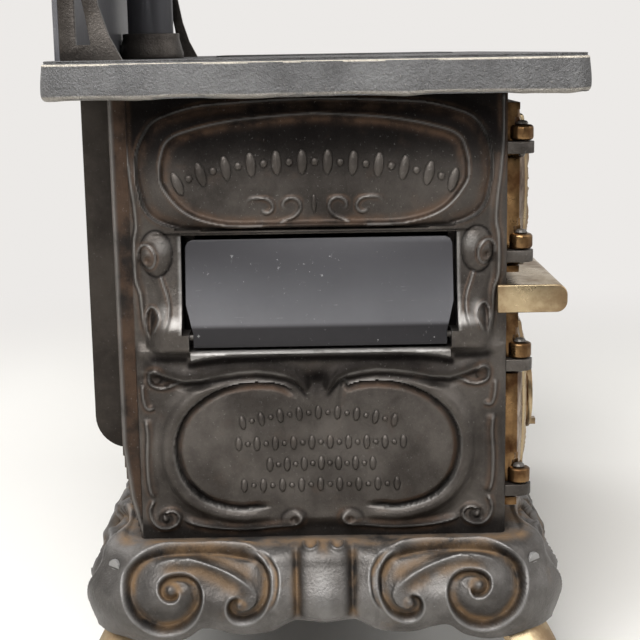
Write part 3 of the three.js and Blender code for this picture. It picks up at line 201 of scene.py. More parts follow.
# Old iron, which most pieces are cast in: mottled black, with brown rust in the hollows and grey metal where
# edges and crests are rubbed. The rubbed mark also carries painted highlights, and a painted shade mark turns
# the colour near black on steep walls, in creases and under overhangs. Each kind of old metal is one ageing
# group, and each finish has its own values.
def noise_at(tree, coordinates, scale, detail=5.0, rough=0.55, stretch=None):
    """A noise texture on the piece's own coordinates."""
    if stretch:
        mapping = put(tree, "ShaderNodeMapping", {"Vector": coordinates, "Scale": stretch})
        coordinates = mapping.outputs["Vector"]
    return put(tree, "ShaderNodeTexNoise", {"Vector": coordinates, "Scale": scale, "Detail": detail,
                                            "Roughness": rough}).outputs["Fac"]


def times(tree, first, second):
    return combine(tree, "MULTIPLY", first, second)


def plus(tree, first, second):
    return combine(tree, "ADD", first, second)


def larger(tree, first, second):
    return combine(tree, "MAXIMUM", first, second)


def rest_of(tree, share):
    return combine(tree, "SUBTRACT", 1.0, share)


def blend_colour(tree, share, first, second):
    inputs = {"Factor": share, "A": first, "B": second}
    return put(tree, "ShaderNodeMix", inputs, data_type="RGBA").outputs["Result"]


def new_group(name, inputs):
    """A shader group with named inputs, whose outputs are the channels of a finish."""
    group = bpy.data.node_groups.new(name, "ShaderNodeTree")
    for label, value in inputs.items():
        kind = "NodeSocketColor" if isinstance(value, tuple) else "NodeSocketFloat"
        group.interface.new_socket(name=label, in_out="INPUT", socket_type=kind).default_value = value
    group.interface.new_socket(name="Color", in_out="OUTPUT", socket_type="NodeSocketColor")
    for label in ("Roughness", "Metallic", "Height"):
        group.interface.new_socket(name=label, in_out="OUTPUT", socket_type="NodeSocketFloat")
    return group, group.nodes.new("NodeGroupInput").outputs


def close_group(group, **channels):
    result = group.nodes.new("NodeGroupOutput")
    for label, value in channels.items():
        group.links.new(value, result.inputs[label])
    return group


def own_place(tree):
    return put(tree, "ShaderNodeTexCoord").outputs["Object"]


def edges_of(tree):
    return put(tree, "ShaderNodeNewGeometry").outputs["Pointiness"]


def mark_of(tree, name):
    return put(tree, "ShaderNodeAttribute", attribute_name=name).outputs["Fac"]


def make_iron_age():
    painted_dark = (0.005, 0.004, 0.004, 1)
    tree, given = new_group("iron_age", {
        "Black": (0.03, 0.03, 0.03, 1), "Grey": (0.08, 0.08, 0.08, 1), "Rust": (0.12, 0.06, 0.03, 1),
        "Bright": (0.3, 0.3, 0.3, 1), "Rust amount": 0.6, "Wear_and_sheen": 0.6, "Grain": 0.5})
    place = own_place(tree)
    wall = mark_of(tree, "wall")
    mottle = noise_at(tree, place, 26, 9, 0.68)
    cloud = noise_at(tree, place, 75, 6, 0.6)
    grains = noise_at(tree, place, 800, 3, 0.7)
    pits = noise_at(tree, place, 360, 3, 0.6)
    clean = blend_colour(tree, band(tree, mottle, 0.32, 0.72), given["Black"], given["Grey"])
    # Painted shade: the colour goes towards near black, and turns rough, where the relief is marked as
    # shaded.
    shaded_colour = blend_colour(tree, times(tree, wall, 0.9), clean, painted_dark)
    in_hollows = times(tree, mark_of(tree, "hollow"), band(tree, cloud, 0.3, 0.62))
    in_patches = times(tree, band(tree, cloud, 0.56, 0.78), 0.22)
    rust = times(tree, plus(tree, in_hollows, in_patches), given["Rust amount"])
    rusted = blend_colour(tree, rust, shaded_colour, given["Rust"])
    # Rubbed crests and painted highlights both lighten the colour towards Bright.
    rub_and_sheen_marks = times(tree, mark_of(tree, "rubbed_and_sheen"), band(tree, cloud, 0.2, 0.5))
    on_edges = times(tree, band(tree, edges_of(tree), 0.56, 0.68), band(tree, cloud, 0.3, 0.6))
    rubbed = times(tree, larger(tree, rub_and_sheen_marks, on_edges), given["Wear_and_sheen"])
    specks = times(tree, band(tree, grains, 0.62, 0.8), 0.35)
    final_colour = blend_colour(tree, larger(tree, rubbed, specks), rusted, given["Bright"])
    rough = plus(tree, times(tree, rust, 0.28), plus(tree, 0.4, times(tree, mottle, 0.18)))
    grain = plus(tree, times(tree, grains, 0.7), times(tree, pits, 0.3))
    return close_group(tree, Color=final_colour, Roughness=larger(tree, rough, times(tree, wall, 0.95)),
                       Metallic=times(tree, rest_of(tree, rust), 0.9),
                       Height=times(tree, grain, given["Grain"]))


def aged_material(name, group, values, bump=0.35, depth=0.0006):
    """A finish that takes its colour, roughness, metal and grain from an ageing group."""
    finish, tree, shader = new_finish(name, {"Specular IOR Level": 0.35})
    ageing = put(tree, "ShaderNodeGroup", node_tree=group)
    for label, value in values.items():
        ageing.inputs[label].default_value = value
    for ours, theirs in (("Color", "Base Color"), ("Roughness", "Roughness"), ("Metallic", "Metallic")):
        tree.links.new(ageing.outputs[ours], shader.inputs[theirs])
    bumps = put(tree, "ShaderNodeBump", {"Strength": bump, "Distance": depth,
                                         "Height": ageing.outputs["Height"]})
    tree.links.new(bumps.outputs["Normal"], shader.inputs["Normal"])
    return finish


def ageing_of(finish):
    return next(node for node in finish.node_tree.nodes if node.type == "GROUP")


iron_age = make_iron_age()

# Base: a grey iron skirt cast in one ring, with an ogee profile. Scrolls stand on its four sides and a
# plain waist divides them. It is blackened, worn grey on the crests and rusty in the hollows. Painted shade
# darkens the scrolls' steep walls and the waist's sides, and a painted highlight lightens the waist's middle.
mm = 0.001
stove = "stove"
# Rows of a relief: the rubbed row also carries painted highlights, and the last row is painted shade on steep
# walls, in creases and under overhangs.
HEIGHT, RUBBED_AND_SHEEN, HOLLOW, PAINTED_SHADE = range(4)  # a relief's rows: height, rubbed crest, rusty hollow and dark wall


def smooth_line(points, steps=8, closed=False):
    """A curve through a few points."""
    p = np.array(points, float)
    if closed:
        p = np.vstack([p[-1], p, p[0], p[1]])
    else:
        p = np.vstack([2 * p[0] - p[1], p, 2 * p[-1] - p[-2]])
    t = np.linspace(0, 1, steps, endpoint=False)[:, None]
    made = []
    for a, b, c, d in zip(p[:-3], p[1:-2], p[2:-1], p[3:]):
        made.append(0.5 * (2 * b + (c - a) * t + (2 * a - 5 * b + 4 * c - d) * t ** 2
                           + (3 * b - a - 3 * c + d) * t ** 3))
    made.append(p[-2:-1])
    return np.vstack(made)


def gone_along(line):
    """The length from a line's start to each of its points."""
    return np.concatenate([[0], np.cumsum(np.hypot(*(line[1:] - line[:-1]).T))])


def nearest(line, u, v):
    """Distance to a line, the side of it (1 is left) and the share along it, for flat arrays."""
    best = np.full(u.shape, 1e9)
    side = np.ones(u.shape)
    share = np.zeros(u.shape)
    gone = gone_along(line)
    for (u0, v0), (u1, v1), start, end in zip(line[:-1], line[1:], gone[:-1], gone[1:]):
        step = end - start
        if step > 0:
            du, dv = (u1 - u0) / step, (v1 - v0) / step
            along = np.clip((u - u0) * du + (v - v0) * dv, 0, step)
            far = np.hypot(u - u0 - along * du, v - v0 - along * dv)
            closer = far < best
            best = np.where(closer, far, best)
            side = np.where(closer, np.sign(du * (v - v0) - dv * (u - u0)), side)
            share = np.where(closer, (start + along) / gone[-1], share)
    return best, side, share


def inside(line, u, v):
    """1 inside a closed line and -1 outside."""
    odd = np.zeros(u.shape, bool)
    for (u0, v0), (u1, v1) in zip(line, np.roll(line, -1, axis=0)):
        if v0 != v1:
            odd ^= ((v0 > v) != (v1 > v)) & (u < (u1 - u0) * (v - v0) / (v1 - v0) + u0)
    return np.where(odd, 1.0, -1.0)


def depth_in(points, u, v):
    """Distance inside a closed line, negative outside."""
    line = smooth_line(points, 6, closed=True)
    return nearest(line, u, v)[0] * inside(line[:-1], u, v)


def swell(share):
    """A quarter round: rises steeply from 0 and comes level at 1."""
    return np.sin(np.pi / 2 * np.clip(share, 0, 1))


def ease(share):
    """Rises from 0 to 1 and is level at both."""
    share = np.clip(share, 0, 1)
    return share * share * (3 - 2 * share)


def bell(distance, half_width):
    """A soft round roll, 1 on its middle and 0 from its half width on."""
    return 0.5 + 0.5 * np.cos(np.pi * np.clip(np.abs(distance) / half_width, 0, 1))


def hump(distance, width):
    """A roll that fades slowly, 1 on its middle."""
    return np.exp(-(distance / width) ** 2)


def lift(relief, row, amount, where=...):
    """Lifts a row of a relief to an amount where it is lower."""
    relief[row, where] = np.maximum(relief[row, where], amount)


def crest(relief, u, v, points, rise, left, right, fade=(0.12, 0.12), hollow=1.0, drop=None, thin=0.5,
          lip=0.0, shine=1.0):
    """Adds a cast ridge along a line to a relief.

    Each flank has its own width, and is hollow (1) or swelling (0). A drop is the depth, steepness, width
    and side (1 left, -1 right) of the channel at the ridge's foot, and a lip is a thin raised line on top.
    Painted shade darkens the steep wall of a drop, or both feet of a ridge that has none.
    """
    line = smooth_line(points)
    reach = max(left, right, drop[2] if drop else 0)
    low, high = line.min(axis=0) - reach, line.max(axis=0) + reach
    near = (u > low[0]) & (u < high[0]) & (v > low[1]) & (v < high[1])
    if not near.any():
        return
    far, side, share = nearest(line, u[near], v[near])
    taper = np.ones(far.shape)
    for end, gone in zip(fade, (share, 1 - share)):
        if end > 0:
            taper = np.minimum(taper, ease(gone / end))
    slope = np.clip(far / np.where(side > 0, left, right), 0, 1)
    change = rise * (hollow * (1 - slope) ** 2 + (1 - hollow) * bell(slope, 1)) + lip * hump(far, 0.65)
    if drop:
        depth, steep, width, where = drop
        there = side == where
        change -= depth * ease(far / steep) * np.clip(1 - far / width, 0, 1) ** 1.4 * there
        rust = hump(far - 1.25 * steep, 0.65 * steep) * there
        # painted shade on the drop's steep wall
        dark = hump(far - 0.6 * steep, 0.45 * steep) * there
    else:
        flank = min(left, right)
        rust = 0.6 * hump(far - 1.1 * flank, 0.6 * flank)
        # painted shade at both feet of the ridge
        dark = 0.6 * hump(far - 0.7 * flank, 0.4 * flank)
    lift(relief, RUBBED_AND_SHEEN, shine * taper * np.clip(1.3 - far / thin, 0, 1), near)
    lift(relief, HOLLOW, taper * rust, near)
    lift(relief, PAINTED_SHADE, taper * dark, near)
    relief[HEIGHT, near] += taper * change


def mirrored(points, about):
    return [(2 * about - u, v) for u, v in points]


def pair(relief, u, v, points, rise, inner, outer, about=0.0, drop=None, **more):
    """A crest and its twin. The line runs from the top of the left half, so that its left is inside."""
    crest(relief, u, v, points, rise, inner, outer, drop=drop and (*drop, 1), **more)
    crest(relief, u, v, mirrored(points, about), rise, outer, inner, drop=drop and (*drop, -1), **more)


def flat_relief(u):
    return np.zeros((4,) + u.shape)


def make_mesh(name, points, faces, marks):
    """A smooth mesh object from points in millimetres, with the marks that its finish reads."""
    data = bpy.data.meshes.new(name)
    data.from_pydata((np.asarray(points, float) * mm).tolist(), [], faces)
    data.validate()
    for label, values in marks.items():
        layer = data.attributes.new(label, "FLOAT", "POINT")
        full = np.zeros(len(data.vertices), np.float32)
        full[:len(values)] = values
        layer.data.foreach_set("value", full)
    data.polygons.foreach_set("use_smooth", np.full(len(data.polygons), True))
    made = bpy.data.objects.new(name, data)
    bpy.context.scene.collection.objects.link(made)
    return made


def relief_marks(relief):
    return {"rubbed_and_sheen": relief[RUBBED_AND_SHEEN].ravel(), "hollow": relief[HOLLOW].ravel(), "wall": relief[PAINTED_SHADE].ravel()}


def tube_faces(rows, columns):
    """Faces of a closed tube, whose rows are rings and whose last row joins the first."""
    faces = []
    for row in range(rows):
        first, second = row * columns, (row + 1) % rows * columns
        for i in range(columns):
            k = (i + 1) % columns
            faces.append((first + i, first + k, second + k, second + i))
    return faces


def set_outward(made):
    """Joins doubled points and turns every face outwards."""
    shape = bmesh.new()
    shape.from_mesh(made.data)
    bmesh.ops.remove_doubles(shape, verts=shape.verts, dist=1e-7)
    bmesh.ops.recalc_face_normals(shape, faces=shape.faces)
    shape.to_mesh(made.data)
    shape.free()


def walk_round(half_x, half_y, corner, steps, arcs):
    """Places round a rectangle with round corners: x and y, the outward angle and the side.

    The sides are 0 rear, 1 fire end, 2 front and 3 oven end, and a corner counts as a half.
    """
    x, y = half_x - corner, half_y - corner
    corners = [(x, y), (-x, y), (-x, -y), (x, -y)]
    places = []
    for side, (step, arc) in enumerate(zip(steps, arcs)):
        start, end = np.array(corners[side]), np.array(corners[(side + 1) % 4])
        angle = math.pi / 2 * (side + 1)
        count = max(8, round(math.dist(start, end) / step))
        places += [(*(start + i / count * (end - start)), angle, side) for i in range(count)]
        places += [(*end, angle + math.pi / 2 * i / arc, side + 0.5) for i in range(arc)]
    return np.array(places)


def ring_at(places, reach, z):
    """Points at a reach from the corners' middles, at one height or a height for each place."""
    x, y, angle, _ = places.T
    x, y = x + np.cos(angle) * reach, y + np.sin(angle) * reach
    return np.stack([x, y, np.broadcast_to(z, x.shape)], axis=1)


def give(made, finish, body, slot, *nodes):
    """Hands a piece its finish and body, and hides the nodes that it stands for. The slot is not used."""
    made.data.materials.append(finish)
    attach(made, body)
    if nodes:
        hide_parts(*nodes)


base_iron = aged_material("base_iron", iron_age, {
    "Black": (0.055, 0.05, 0.046, 1), "Grey": (0.15, 0.142, 0.135, 1), "Rust": (0.17, 0.102, 0.048, 1),
    "Bright": (0.4, 0.395, 0.39, 1), "Rust amount": 0.9, "Wear_and_sheen": 0.5, "Grain": 1.0}, bump=0.8)

base_half_length, base_half_depth, base_top = 199.0, 84.0, 92.0
base_corner, base_flange = 6.0, 87.5
base_steps, base_arcs = (2.6, 0.55, 1.2, 1.6), (64, 64, 20, 20)
base_profile = [(6.6, 92.0), (9.0, 91.8), (11.2, 91.4), (13.0, 90.8), (14.8, 89.8), (16.4, 88.3),
                (17.8, 86.2), (19.2, 82.5), (22.6, 76.5), (25.2, 71.5), (26.0, 67.0), (25.7, 61.0),
                (24.6, 56.0), (23.4, 50.5)]
base_cove, base_belly, cove_rows, skirt_rows = 88.0, 69.0, 20, 66
flange_in, underside_in = 5, 13.5
# The skirt's inner wall, as steps in from its lower edge and up from it.
base_inside = [(-2.2, -0.4), (-4.2, 1.2), (-5.0, 8.0), (-6.2, 22.0), (-12.6, 36.0)]
# The scrolls are drawn as a standing viewer sees them, at this height and distance from each face.
eye_height, eye_distance, belly_out = 313.0, 620.0, 24.0
# They rise from this reach on, and fade towards the corners and the lower edge.
scrolls_from, top_fade, corner_from, corner_fade, foot_fade = 7.0, 3.0, 0.71, 0.16, 4.0
# The lower edge, from the middle of an end or of the front out to the corner.
base_edge = [(0, 58.5), (7, 59.5), (13.5, 60), (17, 58.5), (24.5, 54.8), (35, 53.5), (42, 54), (49, 56),
             (56, 56.5), (63, 52), (73, 49.6), (84, 50.5), (92, 52)]
front_edge = [(0, 49.6), (20, 51), (43, 52.8), (64, 57.6), (86, 55.5), (103, 61), (116, 58.6), (128, 61),
              (144, 55.4), (153, 54), (166, 57), (178, 52), (188, 49.6), (199, 50.5), (207, 52)]
front_scrolls, front_narrow, front_reach = (-116.0, 116.0), 1.06, 110
scroll_line = [(-29, 94), (-37.5, 95.5), (-47.5, 97), (-60, 97.5), (-71.5, 96.5), (-80, 93.5), (-86.5, 88.5),
               (-89.8, 83), (-90.8, 76), (-90, 69), (-87, 62.5), (-82, 57.8), (-76.5, 55), (-70.5, 54.5),
               (-64, 56.5), (-58.5, 61.5), (-55.2, 68), (-54.8, 74.5), (-56.8, 79.5), (-61, 82.8),
               (-66.3, 83.5), (-71.5, 82), (-74.6, 78.8), (-75.2, 74.5), (-73.4, 71), (-70, 69.3),
               (-66.8, 70), (-65.2, 73), (-66.2, 76)]
scroll_outer, scroll_hub = scroll_line[:20], scroll_line[17:]
scroll_branch = [(-36.3, 70), (-39.5, 71.8), (-43, 70.6), (-44.8, 67), (-44, 62.8), (-40.3, 59.6),
                 (-34.8, 59.4), (-28.7, 63), (-25, 69.5), (-23.8, 76.5), (-24.6, 84), (-28.8, 90.5),
                 (-37.5, 95.5), (-47.5, 97)]
scroll_stem = [(-30.5, 72), (-34, 76), (-40, 80.8), (-48, 85.5), (-57.5, 89), (-65.5, 90), (-73.5, 88.5),
               (-79, 85)]
scroll_second = [(-27.5, 62), (-21.6, 69.5), (-20, 78), (-21, 85.5), (-24.8, 91), (-31, 95.3)]
hub_knob, branch_eye, waist_eye = (69.6, 75.2), (38.6, 67.6), (6.0, 95.8)


def base_scrolls(u, v):
    """One scroll panel and its twin, either side of a plain waist."""
    relief = flat_relief(u)
    for points, rise, inner, outer, drop, fade, hollow, lip in (
            (scroll_outer, 1.3, 1.6, 11.0, (4.6, 2.6, 14.0), (0.04, 0.12), 0.1, 0.5),
            (scroll_hub, 1.9, 1.2, 9.0, (4.0, 2.0, 6.0), (0.2, 0.1), 0.2, 0.5),
            (scroll_stem, 2.0, 7.0, 4.5, None, (0.2, 0.25), 0.5, 0.3),
            (scroll_branch, 1.3, 1.2, 7.0, (4.4, 2.4, 10.0), (0.08, 0.3), 0.1, 0.5),
            (scroll_second, 0.9, 2.2, 6.5, (1.3, 1.3, 4.0), (0.3, 0.3), 0.3, 0.2)):
        pair(relief, u, v, points, rise, inner, outer, drop=drop, fade=fade, hollow=hollow, lip=lip, thin=0.6,
             shine=0.6)
    for flip in (-1, 1):
        eye, hub, curl = (np.hypot(u * flip - a, v - b) for a, b in (waist_eye, hub_knob, branch_eye))
        relief[HEIGHT] += 1.8 * np.clip(1 - np.abs(eye - 3.3) / 1.3, 0, 1) - 1.2 * np.clip(1 - eye / 3, 0, 1)
        relief[HEIGHT] += 2.2 * bell(hub, 5.0) + 1.0 * bell(curl, 3.6)
        lift(relief, HOLLOW, np.clip(1.4 - eye / 2, 0, 1))
        lift(relief, HOLLOW, 0.9 * bell(hub - 3.6, 2.6))
        lift(relief, HOLLOW, 0.9 * bell(curl - 2.4, 2.2))
    return relief


def waist(relief, u, v):
    """A plain shell cast over the middle of a side, between two smooth columns."""
    off = np.abs(u)
    relief[HEIGHT] += 3.2 * np.sqrt(np.clip(1 - (off / 11.5) ** 2, 0, 1)) * ease((98 - v) / 9)
    relief[HEIGHT] -= 1.6 * hump(off - 12.8, 1.2) * ease((96 - v) / 5)
    relief[HEIGHT] += 2.2 * np.clip(1 - ((off - 18.5) / 5.8) ** 2, 0, 1) ** 0.8 * ease((97 - v) / 8)
    lift(relief, HOLLOW, hump(off - 13, 1.8) * ease((96 - v) / 5))
    lift(relief, HOLLOW, 0.9 * bell(off, 4.0) * ease((v - 88) / 5))
    # Painted shade darkens the waist's sides, and a painted highlight lightens its middle.
    lift(relief, PAINTED_SHADE, 0.85 * bell(off - 11.5, 5.0) * ease((98 - v) / 6))
    lift(relief, RUBBED_AND_SHEEN, 0.3 * bell(off, 8.0) * ease((88 - v) / 14))
    return relief


def base_relief(u, v, side):
    """Scrolls and waist, once on an end and twice along the front and the rear."""
    if side in (1, 3):
        return waist(base_scrolls(u, v), u, v)
    relief = flat_relief(u)
    for middle in front_scrolls:
        shifted = u - middle
        made = waist(base_scrolls(shifted * front_narrow, v), shifted, v)
        stronger = (np.abs(shifted) < front_reach) & (np.abs(made) > np.abs(relief))
        relief = np.where(stronger, made, relief)
    return relief


def base_foot(places):
    """The height of the wavy lower edge at each place."""
    x, y, angle, side = places.T
    out = base_corner + 25
    on_end = np.isin(side, (1, 3)) | ((side % 1 > 0) & (np.abs(np.cos(angle)) > 0.7))
    ends = np.interp(np.abs(y + np.sin(angle) * out), *smooth_line(base_edge, 6).T)
    fronts = np.interp(np.abs(x + np.cos(angle) * out), *smooth_line(front_edge, 6).T)
    return np.where(on_end, ends, fronts)


def outward_normals(outer, outward):
    along = np.roll(outer, -1, 0) - np.roll(outer, 1, 0)
    normals = np.cross(along, np.gradient(outer, axis=1))
    normals /= np.linalg.norm(normals, axis=2, keepdims=True)
    flip = np.sign((normals[:, :, :2] * outward[:, None]).sum(2, keepdims=True))
    return normals * np.where(flip == 0, 1, flip)


def relief_round(outer, outward, sides):
    """The relief of all four sides."""
    relief = flat_relief(outer[:, :, 0])
    plate = (base_half_length, base_half_depth)
    for side, axis, sign in ((0, 0, -1), (1, 1, -1), (2, 0, 1), (3, 1, 1)):
        chosen = np.isin(sides, [side, side + 0.5, (side - 0.5) % 4])
        across = outer[chosen][:, :, 1 - axis]
        shrink = (eye_distance - belly_out) / (eye_distance - np.abs(across) + plate[1 - axis])
        u = sign * outer[chosen][:, :, axis] * shrink
        v = eye_height + (outer[chosen][:, :, 2] - eye_height) * shrink
        made = base_relief(u.ravel(), v.ravel(), side).reshape((4,) + u.shape)
        made *= ease((np.abs(outward[chosen][:, 1 - axis])[:, None] - corner_from) / corner_fade)
        made *= ease((v - v.min(axis=1, keepdims=True)) / foot_fade)
        relief[:, chosen] = np.where(np.abs(made) > np.abs(relief[:, chosen]), made, relief[:, chosen])
    return relief


def build_base():
    places = walk_round(base_half_length, base_half_depth, base_corner, base_steps, base_arcs)
    profile = smooth_line(base_profile, 12)
    gone = gone_along(profile)
    cove = np.interp(base_cove, profile[::-1, 1], gone[::-1])
    rows_at = np.concatenate([np.linspace(0, cove, cove_rows, endpoint=False),
                              np.linspace(cove, gone[-1], skirt_rows)])
    offsets, heights = np.interp(rows_at, gone, profile[:, 0]), np.interp(rows_at, gone, profile[:, 1])
    foot = base_foot(places)
    rings = []
    for offset, height in zip(offsets, heights):
        down = (base_belly - height) / (base_belly - heights.min())
        z = height if height > base_belly else base_belly - down * (base_belly - foot)
        rings.append(ring_at(places, base_corner + offset, z))
    outer = np.stack(rings, axis=1)
    outward = np.stack([np.cos(places[:, 2]), np.sin(places[:, 2])], axis=1)
    relief = relief_round(outer, outward, places[:, 3]) * ease((offsets - scrolls_from) / top_fade)
    lift(relief, HOLLOW, 0.8 * ease((15 - offsets) / 5))
    outer = outer + outward_normals(outer, outward) * relief[HEIGHT][:, :, None]
    lip, lip_reach, flange_reach = outer[:, -1, 2], base_corner + base_profile[-1][0], base_corner - flange_in
    rings = list(outer.transpose(1, 0, 2))
    rings += [ring_at(places, lip_reach + inward, np.minimum(lip + rise, base_flange - 0.1))
              for inward, rise in base_inside]
    rings += [ring_at(places, reach, z) for reach, z in (
        (lip_reach - underside_in, base_flange), (flange_reach, base_flange), (flange_reach, base_top))]
    made = make_mesh("base_casting", np.concatenate(rings), tube_faces(len(rings), len(places)),
                     relief_marks(relief.transpose(0, 2, 1)))
    set_outward(made)
    return made


give(build_base(), base_iron, stove, "cast_iron", "base_frame")


# Body plates and fire box: plain iron castings that keep the frame's solids. Their edges are eased a little,
# as they are after tumbling, and those inside the body are dark and rusty.
def eased_copy(node, finish, slot, width=0.5, segments=2, angle=35, mesh_work=None):
    """A copy of a frame node with its triangles joined and its edges eased."""
    data = frame["nodes"][node].data.copy()
    made = bpy.data.objects.new(node + "_casting", data)
    bpy.context.scene.collection.objects.link(made)
    shape = bmesh.new()
    shape.from_mesh(data)
    bmesh.ops.remove_doubles(shape, verts=shape.verts, dist=2e-6)
    bmesh.ops.dissolve_limit(shape, angle_limit=math.radians(1), verts=shape.verts, edges=shape.edges)
    if mesh_work:
        mesh_work(shape)
    for face in shape.faces:
        face.smooth = True
    shape.to_mesh(data)
    shape.free()
    bevel = made.modifiers.new("eased edges", "BEVEL")
    bevel.width = width * mm
    bevel.segments = segments
    bevel.limit_method = "ANGLE"
    bevel.angle_limit = math.radians(angle)
    bevel.harden_normals = True
    data.materials.clear()
    give(made, finish, frame["nodes"][node]["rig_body"], slot, node)
    return made


plate_iron = aged_material("plate_iron", iron_age, {
    "Black": (0.035, 0.0303, 0.027, 1), "Grey": (0.098, 0.0875, 0.0785, 1), "Rust": (0.085, 0.045, 0.023, 1),
    "Bright": (0.4, 0.39, 0.375, 1), "Rust amount": 0.7, "Wear_and_sheen": 0.7, "Grain": 1.0}, bump=0.8, depth=0.0005)
inner_iron = aged_material("inner_iron", iron_age, {
    "Black": (0.03, 0.026, 0.024, 1), "Grey": (0.07, 0.06, 0.055, 1), "Rust": (0.16, 0.075, 0.03, 1),
    "Bright": (0.2, 0.19, 0.18, 1), "Rust amount": 0.9, "Wear_and_sheen": 0.3, "Grain": 0.9})
for node, finish in (("bottom_plate", inner_iron), ("back_plate", plate_iron), ("fire_box", inner_iron),
                     ("grate", inner_iron)):
    eased_copy(node, finish, "cast_iron", 0.6)

# Fire end: one cast plate with two cartouches, a plain strip down its rear edge and the hopper's cheeks
# and sill cast on. Blackened iron with rubbed crests, grey on the cheeks and brown in the hollows. Painted
# shade darkens its steep walls and creases, its strip and its foot, painted shadow lies under the cooktop's
# overhang, the sill and the lugs, and painted highlights lighten the lugs' tops, the cheeks and the discs.
panel_face, panel_foot, panel_top = -199.0, 92.0, 305.0
panel_half, panel_strip, panel_grid, cartouche_foot = 84.0, 7.5, 0.62, 234
cartouche_middle, field_middle, cheek_middle = -1.5, -2, -1
mouth_half, mouth_top, mouth_foot = 61.5, 233.0, 182.0
lug_half, lug_top, lug_foot, sill_out, cheek_foot_out = 58.5, 189.5, 173.5, 11, 4.6
# How far the cheeks stand out at each height from the foot up, and the sill's lower edge.
cheek_line = [(160, 0), (168, 2.0), (174, 3.4), (178, 4.6), (180, 6.5), (181.8, 9.6), (183.5, 10.6),
              (191.2, 11), (192.6, 10.6), (194.5, 9.3), (197.5, 7.0), (202, 5.0), (210, 3.2), (222, 1.6),
              (233, 0.5)]
sill_low = [(0, 180.8), (36, 180.6), (46, 180.2), (53, 179.3), (57, 178.4), (60, 178.0)]
# The rear strip's edge: how far out it reaches at each height.
strip_line = [(92, 84.0), (99, 85.5), (111, 88.5), (137, 91.5)]

upper_outline = [(-1.5, 292.5), (-20, 292), (-39, 291), (-51.5, 290), (-63.5, 287), (-71.5, 283.5),
                 (-76, 278), (-79, 271.5), (-80, 265), (-80, 258), (-79, 253), (-77.5, 246.5), (-74, 241.5),
                 (-69, 238.5), (-62.5, 236.5), (-55.5, 235.5)]
upper_oval = [(-1.5, 286.2), (-14.5, 285.5), (-33, 284), (-45.5, 282), (-54, 280), (-62, 277.5),
              (-66.5, 274), (-68.5, 269), (-69.5, 264), (-69.5, 257.5), (-67.5, 253), (-63, 247),
              (-57.5, 242.5), (-50.5, 239.5), (-41.5, 237.5), (-34, 237), (-25, 237)]
upper_scroll = [(-16.5, 238.5), (-10.5, 241), (-7.8, 244.6), (-8.8, 248), (-12.2, 249.2), (-15.2, 247.6),
                (-15.4, 245), (-13, 244)]
upper_curl = [(-33.5, 245), (-30.5, 248.6), (-26.2, 249.4), (-21.8, 248.4), (-20, 245.4), (-21.6, 242.8),
              (-24.4, 243), (-25, 245.4)]
border_line = [(-84, 292.5), (-84, 274), (-82.4, 256.5), (-81.4, 248), (-81, 237.5), (-82.2, 230),
               (-82.2, 214.5), (-80.3, 207), (-79.8, 200.5), (-79.2, 194), (-78.2, 188.5), (-77.2, 184.5)]
disc_middle, disc_half, disc_hub, disc_pit = (-72.7, 225.2), (6.9, 9.8), (-75.2, 224.0), (-75.6, 222.4)
hub_curl = [(-80.2, 222), (-80.6, 226), (-79.3, 228.6), (-76.9, 229.3), (-74.4, 227.6), (-72.9, 224.6),
            (-73.1, 221.4), (-74.6, 219.2), (-76.8, 219), (-78.0, 220.8)]
cheek_curve = [(-70.9, 215.8), (-69.2, 210.5), (-67.7, 206), (-67.0, 201), (-67.3, 196.5), (-68.3, 193),
               (-70.4, 189)]
teardrop = [(-76.8, 186.2), (-77.8, 191), (-78.2, 196), (-77.3, 199.6), (-75.3, 201.4), (-72.9, 199.6),
            (-71.9, 196), (-73.4, 192), (-75.1, 189)]
teardrop_knob = (-79.2, 180.5)
field_head, field_foot = (field_middle, 159.5), (field_middle, 107)
lower_field = [(-12, 161.5), (-16.5, 164), (-22.5, 165.6), (-31, 166), (-40, 164.8), (-48.5, 161.8),
               (-56, 157), (-62, 151), (-66, 143), (-67.2, 134), (-65.5, 124.5), (-61.5, 117), (-55, 111),
               (-46.5, 107.5), (-37, 105.8), (-27, 106.5)]
brace_edge = [(0, 160), (5.5, 162), (9.5, 166.5), (14, 168.8), (20, 170.2), (27, 171), (35, 170.6),
              (43, 169.4), (52, 167.4), (60, 166.9), (66, 168.6), (72, 171)]
shoulder_curl = [(-62, 167), (-66, 165.4), (-70.3, 163.9), (-74, 163.9), (-77.3, 165.8), (-78, 169),
                 (-76.8, 171.6), (-74.6, 172.3), (-72.4, 170.6), (-72.5, 168.3)]
side_leaf = [(-81.2, 166), (-81, 160), (-80, 155.3), (-78.4, 153.8), (-75.6, 154.6)]
side_ridge = [(-80.5, 150), (-79.6, 142), (-80.2, 130), (-79.8, 118.5), (-78, 111)]
foot_curl = [(-77.6, 111), (-79.6, 106.5), (-79, 101.5), (-76.3, 98.2), (-72.3, 97.4), (-67.8, 99.2),
             (-66.4, 102.6), (-68.6, 105.2), (-71.8, 105.2), (-73.6, 103.2), (-72.3, 101)]
foot_ridge = [(-66, 102), (-60, 99.4), (-50, 97.4), (-36, 96.6), (-22, 97.4), (-13, 98.6), (-10, 101.6),
              (-12.6, 104.2), (-16, 103.4)]
shoulder_hub, foot_hub, foot_eye = (-74.2, 168.4), (-71.8, 101.4), (-13.0, 100.6)


def whole(points, about):
    """A closed line from its left half, which is drawn from the top to the foot."""
    return points + mirrored(points, about)[::-1]


